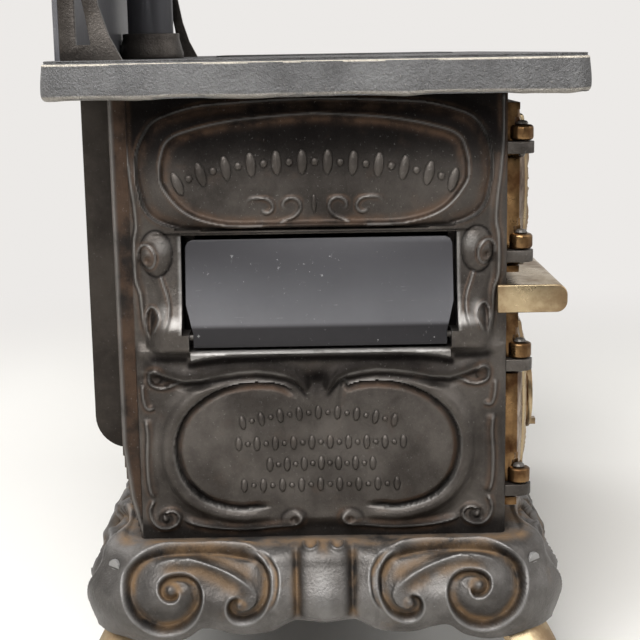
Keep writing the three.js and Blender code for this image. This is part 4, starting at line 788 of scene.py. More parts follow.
def upper_cartouche(u, v):
    """A sunk oval field with plain scrolls, in a pillowed surround."""
    pillow = depth_in(whole(upper_outline, cartouche_middle), u, v)
    field = depth_in(whole(upper_oval, cartouche_middle), u, v)
    across = ease(pillow / np.maximum(pillow - field, 0.01))
    relief = flat_relief(u)
    relief[HEIGHT] = np.where(pillow > 0, 0.4 + 3.4 * across, 0.6 + 2.0 * ease(1 + pillow / 8))
    sunk = 3.8 - 3.0 * ease(field / 2.2) + 1.2 * swell(field / 26)
    relief[HEIGHT] = np.where(field > 0, sunk, relief[HEIGHT])
    lift(relief, HOLLOW, 0.9 * hump(field - 2.6, 1.8) * (field > 0))
    lift(relief, HOLLOW, 0.6 * hump(pillow - 3, 1.8) * (pillow > 0))
    # Painted shade along the inner edges of the field and the pillow.
    lift(relief, PAINTED_SHADE, hump(field - 1.0, 0.8) * (field > 0))
    lift(relief, PAINTED_SHADE, 0.9 * hump(pillow - 1.2, 1.2) * (pillow > 0))
    for points, rise, inner, outer, fade, hollow, thin, shine in (
            (upper_outline, 1.2, 1.2, 2.4, (0, 0.15), 1.0, 0.45, 0.3),
            (upper_oval, 0.5, 0.8, 2.4, (0, 0), 0.8, 0.45, 0.35),
            (upper_scroll, 1.3, 1.3, 1.3, (0, 0.2), 0.2, 0.5, 0.3),
            (upper_curl, 1.3, 1.3, 1.3, (0.4, 0.2), 0.2, 0.5, 0.3)):
        pair(relief, u, v, points, rise, inner, outer, cartouche_middle, fade=fade, hollow=hollow, thin=thin,
             shine=shine)
    return relief


def brace(relief, u, v):
    """The brace over the lower field. Its edge comes down to a cusp in the middle."""
    off = np.abs(u - field_middle)
    above = v - np.interp(off, *np.array(brace_edge).T)
    ends = ease((82 - off) / 10)
    relief[HEIGHT] -= 2.4 * bell(above + 2.4, 3.0) * ease((off - 8) / 8) * ends
    body = np.where(above > 0, 4.3 + 1.3 * bell(above - 3.0, 3.2) - 1.0 * ease((above - 5) / 4),
                    4.3 * ease(1 + above / 1.2))
    relief[HEIGHT] = np.maximum(relief[HEIGHT], body * ends * ease((off - 1) / 5))
    # Painted shade in the hollow under the brace's edge, and painted shadow over its upper part, under the
    # sill.
    lift(relief, PAINTED_SHADE, 0.9 * bell(above + 2.0, 2.6) * ends * ease((off - 2) / 4))
    lift(relief, PAINTED_SHADE, 0.65 * bell(above - 3.5, 6.5) * ends)
    lift(relief, RUBBED_AND_SHEEN, 0.25 * hump(above - 0.4, 0.5) * ends * ease((off - 6) / 6))


def lower_cartouche(u, v):
    """A swelling field in a rolled surround, which is open above and below, with curls in the corners."""
    off = np.abs(u - field_middle)
    field = depth_in([field_head] + whole(lower_field, field_middle) + [field_foot], u, v)
    gate = np.where(v > 133, ease((off - 8) / 9), ease((off - 20) / 10))
    rim = -field
    relief = flat_relief(u)
    inner = 3.0 + 1.6 * swell(field / 34) - 2.4 * gate * bell(field - 0.8, 3.0)
    outer = 3.0 + gate * (0.7 + 1.7 * bell(rim - 3.2, 4.2)) - 2.3 * ease((rim - 4.5) / 6.5)
    relief[HEIGHT] = np.where(field > 0, inner, outer) - 2.4 * hump(off, 9.5) * hump(v - 167.5, 5)
    lift(relief, RUBBED_AND_SHEEN, 0.3 * gate * hump(rim - 0.3, 0.5))
    lift(relief, HOLLOW, gate * hump(field - 2.4, 1.0) * (field > 0))
    # Painted shade in the channel round the field and in the cusp over its middle.
    lift(relief, PAINTED_SHADE, gate * hump(field - 0.5, 0.9) * (field > 0))
    lift(relief, PAINTED_SHADE, hump(off, 8) * hump(v - 168, 5))
    brace(relief, u, v)
    for flip in (-1, 1):
        hub, foot = (np.hypot((u - cheek_middle) * flip - a, v - b) for a, b in (shoulder_hub, foot_hub))
        eye = np.hypot((u + 0.5) * flip - foot_eye[0], (v - foot_eye[1]) * 1.15)
        relief[HEIGHT] += 1.6 * bell(foot, 8.0) - 1.6 * bell(foot - 2.2, 1.8) - 2.6 * bell(hub, 3.4)
        relief[HEIGHT] += 1.8 * bell(eye, 7.0) - 2.2 * bell(eye, 2.6)
        lift(relief, HOLLOW, 0.8 * bell(hub, 3.0))
        lift(relief, HOLLOW, 0.9 * bell(eye, 3.0))
        # Painted shade round the curls' hubs and eyes.
        lift(relief, PAINTED_SHADE, 0.9 * bell(hub - 3.0, 1.2))
        lift(relief, PAINTED_SHADE, 0.55 * bell(foot - 2.2, 1.6))
        lift(relief, PAINTED_SHADE, 0.7 * bell(eye - 6.0, 1.8))
    for points, rise, inner, outer, fade, lip, about in (
            (shoulder_curl, 1.5, 1.6, 2.6, (0.2, 0.15), 0.4, cheek_middle),
            (side_leaf, 1.5, 3.0, 1.4, (0.2, 0.1), 0, cheek_middle),
            (side_ridge, 2.0, 5.0, 1.6, (0.1, 0.1), 0, cheek_middle),
            (foot_curl, 1.5, 1.4, 2.2, (0.06, 0.15), 0.3, cheek_middle),
            (foot_ridge, 1.8, 3.4, 2.0, (0.1, 0.12), 0.3, -0.5)):
        pair(relief, u, v, points, rise, inner, outer, about, fade=fade, lip=lip, hollow=0.15, shine=0.3)
    return relief


def cheeks(relief, u, v):
    """The hopper's cheeks sweep out to lugs at the foot, and the sill runs between the lugs."""
    off = np.abs(u)
    lean = np.interp(v, *np.array(cheek_line).T) * ease((80.5 - off) / 11)
    low = np.interp(off, *np.array(sill_low).T)
    bar = np.where(v > low, sill_out - 1.6 * ease((v - mouth_foot + 1.3) / 1.3),
                   sill_out * ease(1 - (low - v) / 2.4))
    between = off < lug_half
    on_sill = np.maximum(bar, np.minimum(lean, cheek_foot_out))
    height = np.where(between & (v < mouth_foot + 0.1), on_sill, lean)
    lift(relief, HEIGHT, np.where(v > 177, height, np.minimum(height, cheek_foot_out)))
    # A band of rubbed wear and painted sheen on the sill's top and front.
    lift(relief, RUBBED_AND_SHEEN, 0.7 * bell(v - low - 0.8, 3.8) * between)
    lift(relief, RUBBED_AND_SHEEN, 0.6 * hump(off - mouth_half - 0.7, 0.6) * (v > lug_top) * (v < mouth_top))
    # Painted highlights on the lugs' top rolls and on the cheeks beside the teardrops.
    lift(relief, RUBBED_AND_SHEEN, 0.65 * bell(v - 194.6, 4.2) * bell(off - 65, 9) * (off > lug_half))
    lift(relief, RUBBED_AND_SHEEN, 0.45 * bell(np.hypot(off - 70, (v - 199) / 1.6), 4.0))
    # Painted shadow under the sill and under the lugs.
    lift(relief, PAINTED_SHADE, 0.95 * bell(v - low + 3.6, 4.6) * ease((62 - off) / 3))
    lift(relief, PAINTED_SHADE, 0.9 * bell(v - 177.4, 4.4) * ease((off - 58) / 3) * ease((80 - off) / 5))


def cheek_ornament(relief, u, v):
    """On each cheek a domed disc with a curled hub, a teardrop below it and a knob at the foot."""
    for flip in (-1, 1):
        side = (u - cheek_middle) * flip
        across, up = side - disc_middle[0] + cheek_middle, v - disc_middle[1]
        away = np.hypot(across / disc_half[0], up / disc_half[1])
        hub = np.hypot(side - disc_hub[0], (v - disc_hub[1]) / 1.35)
        pit, knob = (np.hypot(side - a, v - b) for a, b in (disc_pit, teardrop_knob))
        drop = depth_in([(a - cheek_middle, b) for a, b in teardrop], side, v)
        relief[HEIGHT] += 2.3 * np.sqrt(np.clip(1 - away ** 2, 0, 1))
        relief[HEIGHT] += 1.2 * bell(hub, 4.0) - 0.8 * bell(hub - 3.9, 1.1)
        relief[HEIGHT] += 2.0 * bell(knob, 5.0) - 2.4 * bell(pit, 2.6) - 1.6 * swell(drop / 2.4)
        # A painted highlight on the disc's upper right.
        lift(relief, RUBBED_AND_SHEEN, 0.3 * bell(np.hypot(across - 3.0, up - 3.0), 5.5))
        lift(relief, HOLLOW, 0.9 * bell(pit, 3.4))
        # Painted shade round the disc's edge, round the hub and inside the teardrop.
        lift(relief, PAINTED_SHADE, 0.9 * bell(away - 1.06, 0.14))
        lift(relief, PAINTED_SHADE, 0.7 * bell(hub - 3.9, 1.0))
        lift(relief, PAINTED_SHADE, 0.5 * ease(drop / 1.2))
    for points, rise, inner, outer, fade, shine in (
            (teardrop, 1.0, 1.0, 1.6, (0.1, 0.1), 0.4), (cheek_curve, 1.5, 0.9, 5.5, (0.05, 0.25), 0.35),
            (hub_curl, 0.7, 1.0, 1.4, (0.1, 0.15), 0.35), (border_line, 1.8, 3.6, 1.6, (0, 0.1), 0.45)):
        pair(relief, u, v, points, rise, inner, outer, cheek_middle, fade=fade, shine=shine, hollow=0.1)


def fire_end_relief(u, v):
    relief = flat_relief(u)
    relief[HEIGHT] = 0.5
    upper, lower = v > cartouche_foot, v < mouth_foot
    relief[:, upper] = upper_cartouche(u[upper], v[upper])
    relief[:, lower] = lower_cartouche(u[lower], v[lower])
    relief[HEIGHT] *= ease((u + 92) / 6)
    # Painted shadow under the cooktop's overhang, and painted shade darkening towards the foot.
    for painted_dark in (0.25 * ease((v - 230) / 8), 0.97 * ease((v - 244) / 33), 0.85 * ease((104 - v) / 7)):
        lift(relief, PAINTED_SHADE, painted_dark)
    cheeks(relief, u, v)
    cheek_ornament(relief, u, v)
    return relief


def graded(places, step):
    """Grid places that hit every given place, with even steps between."""
    made = [places[0]]
    for a, b in zip(places[:-1], places[1:]):
        count = max(1, round((b - a) / step))
        made += [a + (b - a) * (i + 1) / count for i in range(count)]
    return np.array(made)


def grid_relief(make_relief, us, vs):
    """The grid's places and the relief on them."""
    uu, vv = np.meshgrid(us, vs)
    return uu, vv, make_relief(uu.ravel(), vv.ravel()).reshape((4,) + uu.shape)


def strip_reach(v):
    return np.interp(v, *np.array(strip_line).T)


def relief_plate(name, us, vs, relief, keep_where, place, back=4.0):
    """A plate with a relief face, where it is kept, square walls round its edge and holes, and a back.

    The back is flat at one depth, or has a height for each place of the grid.
    """
    uu, vv = np.meshgrid(us, vs)
    keep = keep_where(*np.meshgrid((us[:-1] + us[1:]) / 2, (vs[:-1] + vs[1:]) / 2))
    columns = len(us)
    padded = np.pad(keep, 1)
    faces, walls = [], []
    for j, i in zip(*np.nonzero(keep)):
        a, d = j * columns + i, (j + 1) * columns + i
        faces.append((a, a + 1, d + 1, d))
        for down, right, edge in ((-1, 0, (a, a + 1)), (0, 1, (a + 1, d + 1)),
                                  (1, 0, (d + 1, d)), (0, -1, (d, a))):
            if not padded[j + 1 + down, i + 1 + right]:
                walls.append(edge)
    points = [place(*at) for at in zip(uu.ravel(), vv.ravel(), relief[HEIGHT].ravel())]
    count = len(points)
    if np.ndim(back):
        back_of = {k: count + k for k in range(count)}
        points += [place(*at) for at in zip(uu.ravel(), vv.ravel(), back.ravel())]
        faces += [tuple(back_of[k] for k in reversed(face)) for face in faces]
    else:
        rim = sorted({k for edge in walls for k in edge})
        back_of = {k: count + n for n, k in enumerate(rim)}
        points += [place(uu.ravel()[k], vv.ravel()[k], -back) for k in rim]
    faces += [(b, a, back_of[a], back_of[b]) for a, b in walls]
    made = make_mesh(name, points, faces, relief_marks(relief))
    sharp = math.radians(62)
    shape = bmesh.new()
    shape.from_mesh(made.data)
    bmesh.ops.delete(shape, geom=[vert for vert in shape.verts if not vert.link_faces], context="VERTS")
    rims = [edge for edge in shape.edges if edge.is_boundary]
    if rims:
        bmesh.ops.triangle_fill(shape, edges=rims, use_beauty=False)
    bmesh.ops.recalc_face_normals(shape, faces=shape.faces)
    for edge in shape.edges:
        if len(edge.link_faces) == 2 and edge.calc_face_angle(0) > sharp:
            edge.smooth = False
    shape.to_mesh(made.data)
    shape.free()
    return made


def fire_end_kept(u, v):
    """The panel out to its strip, without the hopper's mouth, which is narrower between the lugs."""
    off = np.abs(u)
    wide = (off < mouth_half) & (v > lug_top) & (v < mouth_top)
    narrow = (off < lug_half) & (v > mouth_foot) & (v <= lug_top)
    return (-u < strip_reach(v) + 0.3) & ~wide & ~narrow


panel_us = graded([-panel_half - panel_strip, -panel_half, -mouth_half, -lug_half, lug_half, mouth_half,
                   panel_half], panel_grid)
panel_vs = graded([panel_foot, lug_foot, mouth_foot, lug_top, mouth_top, panel_top], panel_grid)
panel_uu, panel_vv, panel_relief = grid_relief(fire_end_relief, panel_us, panel_vs)
strip = -panel_uu > panel_half - 0.4
bead = hump(-panel_uu - strip_reach(panel_vv) + 1.0, 0.8)
# The rear strip: painted shade and rust everywhere but on its bead, which is rubbed.
strip_rows = np.array([0.1 + bead, 0.35 * bead, 0.7 - 0.65 * bead, 0.85 - 0.8 * bead])
panel_relief[:, strip] = strip_rows[:, strip]
panel_relief[HEIGHT] *= ease((panel_half + 0.4 - panel_uu) / 2.5)
fire_end = relief_plate("fire_end_casting", panel_us, panel_vs, panel_relief, fire_end_kept,
                        lambda u, v, h: (panel_face - h, -u, v))
give(fire_end, plate_iron, stove, "cast_iron", "end_panel_fire")


# Spindles and pearls: plain raised rows that fill the fire end's cartouches. They are cast on with the plate,
# and are of the same black iron.
bead_segments, bead_rings = 14, 8
upper_row = [(-62, 256), (-52, 260), (-34, 263.6), (-1.5, 265), (32, 262.6), (49.5, 259), (60, 256)]
lower_rows = ([(-36, 147.5), (-18, 150.5), (-1, 151.5), (16, 150.5), (33, 147.5)],
              [(-38, 137.5), (37, 137.5)], [(-24, 127.5), (23, 127.5)], [(-36, 117.5), (34, 117.5)])
lone_bead = (-1.8, 246.5, (1.0, 1.2, 4.0), 0)


def bead_nodes():
    """Nodes that set a rounded bead on each point, with its own size and turn."""
    group = bpy.data.node_groups.new("beads", "GeometryNodeTree")
    sockets = {label: group.interface.new_socket(name=label, in_out="INPUT", socket_type=kind)
               for label, kind in (("Geometry", "NodeSocketGeometry"), ("Segments", "NodeSocketInt"),
                                   ("Rings", "NodeSocketInt"), ("Finish", "NodeSocketMaterial"))}
    group.interface.new_socket(name="Geometry", in_out="OUTPUT", socket_type="NodeSocketGeometry")
    given = group.nodes.new("NodeGroupInput").outputs
    turn, size = (put(group, "GeometryNodeInputNamedAttribute", {"Name": label}, data_type="FLOAT_VECTOR")
                  for label in ("turn", "size"))
    spots = put(group, "GeometryNodeMeshToPoints", {"Mesh": given["Geometry"]})
    ball = put(group, "GeometryNodeMeshUVSphere", {"Segments": given["Segments"], "Rings": given["Rings"],
                                                   "Radius": 1})
    placed = put(group, "GeometryNodeInstanceOnPoints", {
        "Points": spots.outputs["Points"], "Instance": ball.outputs["Mesh"],
        "Rotation": turn.outputs["Attribute"], "Scale": size.outputs["Attribute"]})
    real = put(group, "GeometryNodeRealizeInstances", {"Geometry": placed.outputs["Instances"]})
    shade = put(group, "GeometryNodeSetShadeSmooth", {"Geometry": real.outputs["Geometry"]})
    finish = put(group, "GeometryNodeSetMaterial", {"Geometry": shade.outputs["Geometry"],
                                                    "Material": given["Finish"]})
    put(group, "NodeGroupOutput", {"Geometry": finish.outputs["Geometry"]})
    return group, sockets


def set_beads(name, spots, finish, body):
    """Beads at spots of place, half sizes and turn, in millimetres and radians, as one mesh."""
    places, sizes, turns = (np.array(values, float) for values in zip(*spots))
    data = bpy.data.meshes.new(name + "_spots")
    data.from_pydata((places * mm).tolist(), [], [])
    for label, values in (("size", sizes * mm), ("turn", turns)):
        layer = data.attributes.new(label, "FLOAT_VECTOR", "POINT")
        layer.data.foreach_set("vector", values.astype(np.float32).ravel())
    holder = bpy.data.objects.new(name + "_spots", data)
    bpy.context.scene.collection.objects.link(holder)
    group, sockets = bead_nodes()
    nodes = holder.modifiers.new("beads", "NODES")
    nodes.node_group = group
    for label, value in (("Segments", bead_segments), ("Rings", bead_rings), ("Finish", finish)):
        nodes[sockets[label].identifier] = value
    ready = holder.evaluated_get(bpy.context.evaluated_depsgraph_get())
    made = bpy.data.objects.new(name, bpy.data.meshes.new_from_object(ready))
    bpy.context.scene.collection.objects.link(made)
    bpy.data.objects.remove(holder)
    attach(made, body)


def at_grid(grid, us, vs, u, v):
    """The value of a grid at a place between its lines."""
    i = min(max(np.searchsorted(us, u) - 1, 0), len(us) - 2)
    j = min(max(np.searchsorted(vs, v) - 1, 0), len(vs) - 2)
    a, b = (u - us[i]) / (us[i + 1] - us[i]), (v - vs[j]) / (vs[j + 1] - vs[j])
    low, high = (grid[row, i] * (1 - a) + grid[row, i + 1] * a for row in (j, j + 1))
    return low * (1 - b) + high * b


def spindle_row(points, pitch, tall, narrow, pearl):
    """Spindles across a line and pearls between them: place, half sizes and lean of each."""
    line = smooth_line(points, 10)
    gone = gone_along(line)
    count = 2 * round(gone[-1] / pitch / 2)
    row = []
    for n in range(count + 1):
        share = gone[-1] * n / count
        (u, v), before, after = (
            np.array([np.interp(at, gone, line[:, 0]), np.interp(at, gone, line[:, 1])])
            for at in (share, max(share - 1, 0), min(share + 1, gone[-1])))
        half = (1.5, narrow, tall) if n % 2 == 0 else (1.2, pearl, pearl)
        row.append((u, v, half, math.atan2(after[1] - before[1], after[0] - before[0])))
    return row


cartouche_beads = spindle_row(upper_row, pitch=5.5, tall=5.6, narrow=2.4, pearl=1.8)
for lower_row in lower_rows:
    cartouche_beads += spindle_row(lower_row, pitch=4.2, tall=3.4, narrow=1.7, pearl=1.3)
cartouche_beads.append(lone_bead)
set_beads("fire_end_beads", [
    ((panel_face - at_grid(panel_relief[HEIGHT], panel_us, panel_vs, u, v), -u, v), half, (-lean, 0, 0))
    for u, v, half, lean in cartouche_beads], plate_iron, stove)


# Legs: four nickel-plated cabriole castings, each drawn up inside a corner of the skirt by one slotted screw.
# The plating is warm and stained brown. The screw heads are bare grey steel, and the tie rods are dark.
def make_nickel_age():
    """Old nickel plating: warm, stained brown in its insets and flecked where the iron shows."""
    tree, given = new_group("nickel_age", {
        "Plate": (0.38, 0.3, 0.185, 1), "Stain": (0.13, 0.062, 0.026, 1), "Dark": (0.03, 0.024, 0.018, 1),
        "Stain amount": 0.5})
    place = own_place(tree)
    blotch = noise_at(tree, place, 60, 6, 0.62)
    fleck = noise_at(tree, place, 420, 3, 0.6)
    inset = times(tree, rest_of(tree, band(tree, edges_of(tree), 0.42, 0.5)), 0.8)
    low = plus(tree, inset, mark_of(tree, "hollow"))
    stain_share = times(tree, plus(tree, band(tree, blotch, 0.38, 0.66), low), given["Stain amount"])
    stained = blend_colour(tree, stain_share, given["Plate"], given["Stain"])
    in_blotches = plus(tree, 0.15, times(tree, band(tree, blotch, 0.5, 0.7), 0.6))
    dark = times(tree, band(tree, fleck, 0.62, 0.78), in_blotches)
    return close_group(tree, Color=blend_colour(tree, dark, stained, given["Dark"]),
                       Roughness=plus(tree, 0.27, times(tree, stain_share, 0.3)),
                       Metallic=rest_of(tree, times(tree, dark, 0.7)),
                       Height=rest_of(tree, times(tree, fleck, 0.8)))


def make_steel_age():
    """Old steel: cloudy, with short scratches and rubbed edges."""
    tree, given = new_group("steel_age", {
        "Steel": (0.2, 0.21, 0.23, 1), "Dark": (0.05, 0.05, 0.055, 1), "Scratch": (0.5, 0.5, 0.5, 1),
        "Scratches": 0.5})
    place = own_place(tree)
    cloudy = noise_at(tree, place, 30, 6, 0.6)
    streak = noise_at(tree, place, 60, 5, 0.7, (6, 0.5, 14))
    scuffs = noise_at(tree, place, 260, 3, 0.6)
    tone = blend_colour(tree, band(tree, cloudy, 0.1, 0.9), given["Dark"], given["Steel"])
    short = times(tree, band(tree, streak, 0.6, 0.72), band(tree, scuffs, 0.5, 0.66))
    edges = times(tree, band(tree, edges_of(tree), 0.58, 0.68), band(tree, cloudy, 0.35, 0.6))
    scratched = times(tree, larger(tree, short, edges), given["Scratches"])
    return close_group(tree, Color=blend_colour(tree, scratched, tone, given["Scratch"]),
                       Roughness=plus(tree, 0.38, times(tree, scuffs, 0.1)),
                       Metallic=plus(tree, 0.4, times(tree, scuffs, 0.1)), Height=scuffs)


nickel_age, steel_age = make_nickel_age(), make_steel_age()
old_nickel = aged_material("old_nickel", nickel_age, {"Stain amount": 0.6}, bump=0.25, depth=0.0003)
rod_steel = aged_material("rod_steel", steel_age, {
    "Steel": (0.12, 0.11, 0.1, 1), "Dark": (0.04, 0.035, 0.03, 1), "Scratch": (0.35, 0.33, 0.3, 1)},
    bump=0.2, depth=0.0003)
screw_steel = aged_material("screw_steel", steel_age, {
    "Steel": (0.35, 0.35, 0.35, 1), "Dark": (0.16, 0.15, 0.14, 1), "Scratch": (0.6, 0.6, 0.58, 1)},
    bump=0.15, depth=0.0003)
for corner in ("front_left", "front_right", "rear_left", "rear_right"):
    leg = eased_copy("leg_" + corner, old_nickel, "nickel", 0.5, 2, 60)
    rounding = leg.modifiers.new("rounded casting", "SUBSURF")
    rounding.levels = rounding.render_levels = 2
    eased_copy("leg_bolt_" + corner, screw_steel, "nickel", 0.3, 2, 25)
    eased_copy("tie_rod_" + corner, rod_steel, "dark_steel", 0.2)

# Hopper flap: a sheet of rolled steel, bent along its lower part and curled round a rod between the lugs.
# It is dull blue black and flecked pale. Painted shade darkens the lip below the bend, and a painted shadow
# darkens it more and more from the bend up to its top edge.
flap_steel = aged_material("flap_steel", steel_age, {
    "Steel": (0.135, 0.134, 0.144, 1), "Dark": (0.108, 0.107, 0.115, 1), "Scratch": (0.38, 0.38, 0.38, 1)},
    bump=0.1, depth=0.0002)


def make_painted_shade_flap():
    finish = flap_steel.copy()
    finish.name = "painted_shade_flap"
    tree = finish.node_tree
    place = own_place(tree)
    height = put(tree, "ShaderNodeSeparateXYZ", {0: place}).outputs["Z"]
    low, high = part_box("feed_flap")
    bend = low.z + 9.5 * mm
    above_bend = band(tree, height, bend - 1.2 * mm, bend + 1.5 * mm)
    shadow_to_top = rest_of(tree, times(tree, band(tree, height, bend, high.z), 0.93))
    # Painted shade on the lip below the bend, and a painted shadow that darkens it from the bend up to its
    # top.
    tone = blend_colour(tree, times(tree, above_bend, shadow_to_top), (0.018, 0.017, 0.019, 1),
                        ageing_of(finish).outputs["Color"])
    fine = band(tree, noise_at(tree, place, 420, 4, 0.75), 0.63, 0.71)
    patches = band(tree, noise_at(tree, place, 42, 3, 0.6), 0.48, 0.62)
    flecks = times(tree, fine, times(tree, patches, 0.7))
    shader = tree.nodes["Principled BSDF"]
    tree.links.new(blend_colour(tree, flecks, tone, (0.4, 0.4, 0.4, 1)), shader.inputs["Base Color"])
    return finish


eased_copy("feed_flap", make_painted_shade_flap(), "sheet_steel", 0.35, 2, 25)
eased_copy("feed_flap_rod", rod_steel, "dark_steel", 0.15)


# Oven end: the same cast iron plate without a hopper, with its lower cartouche stretched to fill the height.
# Like the fire end, it stands on the base under the cooktop, and the tie rods hold the body together.
oven_grid, field_low, drawn_height, full_height = 0.8, 92.5, 79.5, 139.0


def oven_end_relief(u, v):
    relief = flat_relief(u)
    upper = v > cartouche_foot
    relief[:, upper] = upper_cartouche(u[upper], v[upper])
    stretched = field_low + (v - field_low) * drawn_height / full_height
    relief[:, ~upper] = lower_cartouche(u[~upper], stretched[~upper])
    relief[HEIGHT] = 0.1 + relief[HEIGHT] * ease((panel_half + 0.5 - np.abs(u)) / 2.5)
    edge_bead = hump(u - strip_reach(v) + 1.0, 0.8)
    relief[HEIGHT] += edge_bead
    lift(relief, RUBBED_AND_SHEEN, 0.7 * edge_bead)
    return relief


oven_us = graded([-panel_half, panel_half + panel_strip], oven_grid)
oven_vs = graded([panel_foot, panel_top], oven_grid)
oven_relief = grid_relief(oven_end_relief, oven_us, oven_vs)[2]
oven_end = relief_plate("oven_end_casting", oven_us, oven_vs, oven_relief,
                        lambda u, v: u < strip_reach(v) + 0.3, lambda u, v, h: (-panel_face + h, u, v))
give(oven_end, plate_iron, stove, "cast_iron", "end_panel_oven")

# Front casting: one cast iron plate with three door openings. The hinge lugs are cast in one with it, and
# the door pins are riveted through them.
eased_copy("front_frame", plate_iron, "cast_iron", 0.6)

# Doors: nickel-plated pillowed castings, each hung on two riveted pins, with turning latches.
# The hinge edges are stained dark, and the faces carry leaf scrolls.
hinge_nickel = aged_material("hinge_nickel", nickel_age, {
    "Plate": (0.18, 0.108, 0.05, 1), "Stain": (0.042, 0.017, 0.007, 1), "Stain amount": 0.95},
    bump=0.3, depth=0.0003)
hinge_lines, eye_near, eye_far, eye_round = [(-193.0, -91.2), (146.0, -91.2)], 4.6, 5.8, 1.7
door_back, door_rim, door_bulge = -84.3, 6.0, 7.0
leaf_stem = [(7.5, 33), (8, 22), (12, 12.5), (21, 8.5), (33, 9), (40, 13), (41, 19), (36, 22), (32, 19.5),
             (33.5, 16)]
leaf_vein = [(12, 13), (17, 19), (20, 27), (17.5, 34), (12.5, 35), (10.5, 31)]
leaf_tip = [(14, 15), (21, 18), (28, 25), (34, 30)]


def from_hinge(vert):
    return min(math.dist(line, (vert.co.x / mm, vert.co.y / mm)) for line in hinge_lines)


def round_eyes(shape):
    """Rounds the outer rims of the cast hinge eyes, which are barrels round the pins."""
    rims = []
    for edge in shape.edges:
        level = abs(edge.verts[0].co.z - edge.verts[1].co.z) < 0.1 * mm
        on_rim = all(eye_near < from_hinge(vert) < eye_far for vert in edge.verts)
        if level and on_rim and len(edge.link_faces) == 2 and edge.calc_face_angle(0) > 1.2:
            rims.append(edge)
    bmesh.ops.bevel(shape, geom=rims, offset=eye_round * mm, segments=4, profile=0.5, affect="EDGES",
                    clamp_overlap=True)


def door_face(name, left, right, low, high, hinge_left, inlet=None, step=0.8):
    """A raised panel on the door's swelling face, with a beaded border and a leaf scroll in each corner."""
    end_in, hinge_in, inlet_radius, ring_clear, ring_middle, drawn_size = 5.0, 11.0, 20.5, 21, 23.4, 38.0
    first = left + (hinge_in if hinge_left else end_in)
    last = right - (end_in if hinge_left else hinge_in)
    middle_u, middle_v = (first + last) / 2, (low + high) / 2
    half_u, half_v = (last - first) / 2, (high - low) / 2 - end_in
    size = min(half_u, half_v) / drawn_size

    def border_at(u, v):
        return np.minimum(half_u - np.abs(u - middle_u), half_v - np.abs(v - middle_v))

    def kept_round_inlet(u, v):
        if inlet:
            return np.hypot(u - inlet[0], v - inlet[1]) > inlet_radius
        return np.ones(u.shape, bool)

    def leaf_relief(u, v):
        relief = flat_relief(u)
        border = border_at(u, v)
        relief[HEIGHT] = 1.1 * ease(border / 1.6) - 0.5 * ease((border - 4.0) / 1.5)
        relief[RUBBED_AND_SHEEN] = 0.5 * hump(border - 2.8, 0.9)
        relief[HOLLOW] = hump(border - 5.6, 1.0)
        for sx in (-1, 1):
            for sy in (-1, 1):
                for points, rise, inner, outer in ((leaf_stem, 1.7, 1.2, 3.0), (leaf_vein, 1.4, 1.2, 2.6),
                                                   (leaf_tip, 1.2, 1.6, 1.6)):
                    placed = [(middle_u + sx * (half_u - a * size), middle_v + sy * (half_v - b * size))
                              for a, b in points]
                    flanks = (inner, outer) if sx * sy > 0 else (outer, inner)
                    crest(relief, u, v, placed, rise, *flanks, fade=(0.15, 0.15), hollow=0.5)
        if inlet:
            ring = np.hypot(u - inlet[0], v - inlet[1])
            relief *= ease((ring - ring_clear) / 2)
            relief[HEIGHT] += 1.2 * np.clip(1 - ((ring - ring_middle) / 1.8) ** 2, 0, 1)
        return relief

    us, vs = graded([first, last], step), graded([low + end_in, high - end_in], step)
    uu, vv, relief = grid_relief(leaf_relief, us, vs)
    across = np.sin(np.pi * (uu - left) / (right - left)) * np.sin(np.pi * (vv - low) / (high - low))
    bulge = door_rim + door_bulge * np.sqrt(np.clip(across, 0, 1))
    relief[HEIGHT] += bulge + 0.1 - 1.4 * (1 - ease(border_at(uu, vv) / 0.8 + 0.001))
    made = relief_plate(name + "_face", us, vs, relief, kept_round_inlet,
                        lambda u, v, h: (u, door_back - h, v), back=bulge - 1.5)
    give(made, old_nickel, frame["nodes"][name]["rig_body"], "nickel")


for door in ("fire_door", "ash_door", "oven_door"):
    eased_copy(door, hinge_nickel, "nickel", 0.5, 2, 25, mesh_work=round_eyes)
    eased_copy(door + "_knob", old_nickel, "nickel", 0.3, 2, 20)
    for end in ("upper", "lower"):
        eased_copy(door + "_pin_" + end, rod_steel, "dark_steel", 0.25, 2, 20)
door_face("fire_door", -193.0, -90.0, 213.0, 289.0, True)
door_face("ash_door", -193.0, -90.0, 103.0, 194.0, True, inlet=(-149.5, 148.5))
door_face("oven_door", -62.0, 146.0, 103.0, 276.0, False, step=1.0)
eased_copy("draft_disc", old_nickel, "nickel", 0.3, 2, 30)
eased_copy("draft_rivet", screw_steel, "dark_steel", 0.3, 2, 25)

# Nickel shelf: a hollow iron casting with a rounded nose, nickel-plated and warm with age. It is hooked round
# the corner of the fire end, between the fire door and the ash door.
eased_copy("front_shelf", old_nickel, "nickel", 1.1, 4, 25)

# Flue casing and oven box: the casing is an iron shell behind the body, black and a little rusty. The oven
# box is folded from sheet steel, with a flange against the back of the front casting.
casing_iron = aged_material("casing_iron", iron_age, {
    "Black": (0.022, 0.0185, 0.016, 1), "Grey": (0.05, 0.043, 0.037, 1), "Rust": (0.07, 0.033, 0.016, 1),
    "Bright": (0.2, 0.19, 0.18, 1), "Rust amount": 0.6, "Wear_and_sheen": 0.3, "Grain": 0.6})
eased_copy("flue_casing", casing_iron, "dark_steel", 0.9, 3, 30)
eased_copy("oven_box", inner_iron, "sheet_steel", 0.4)

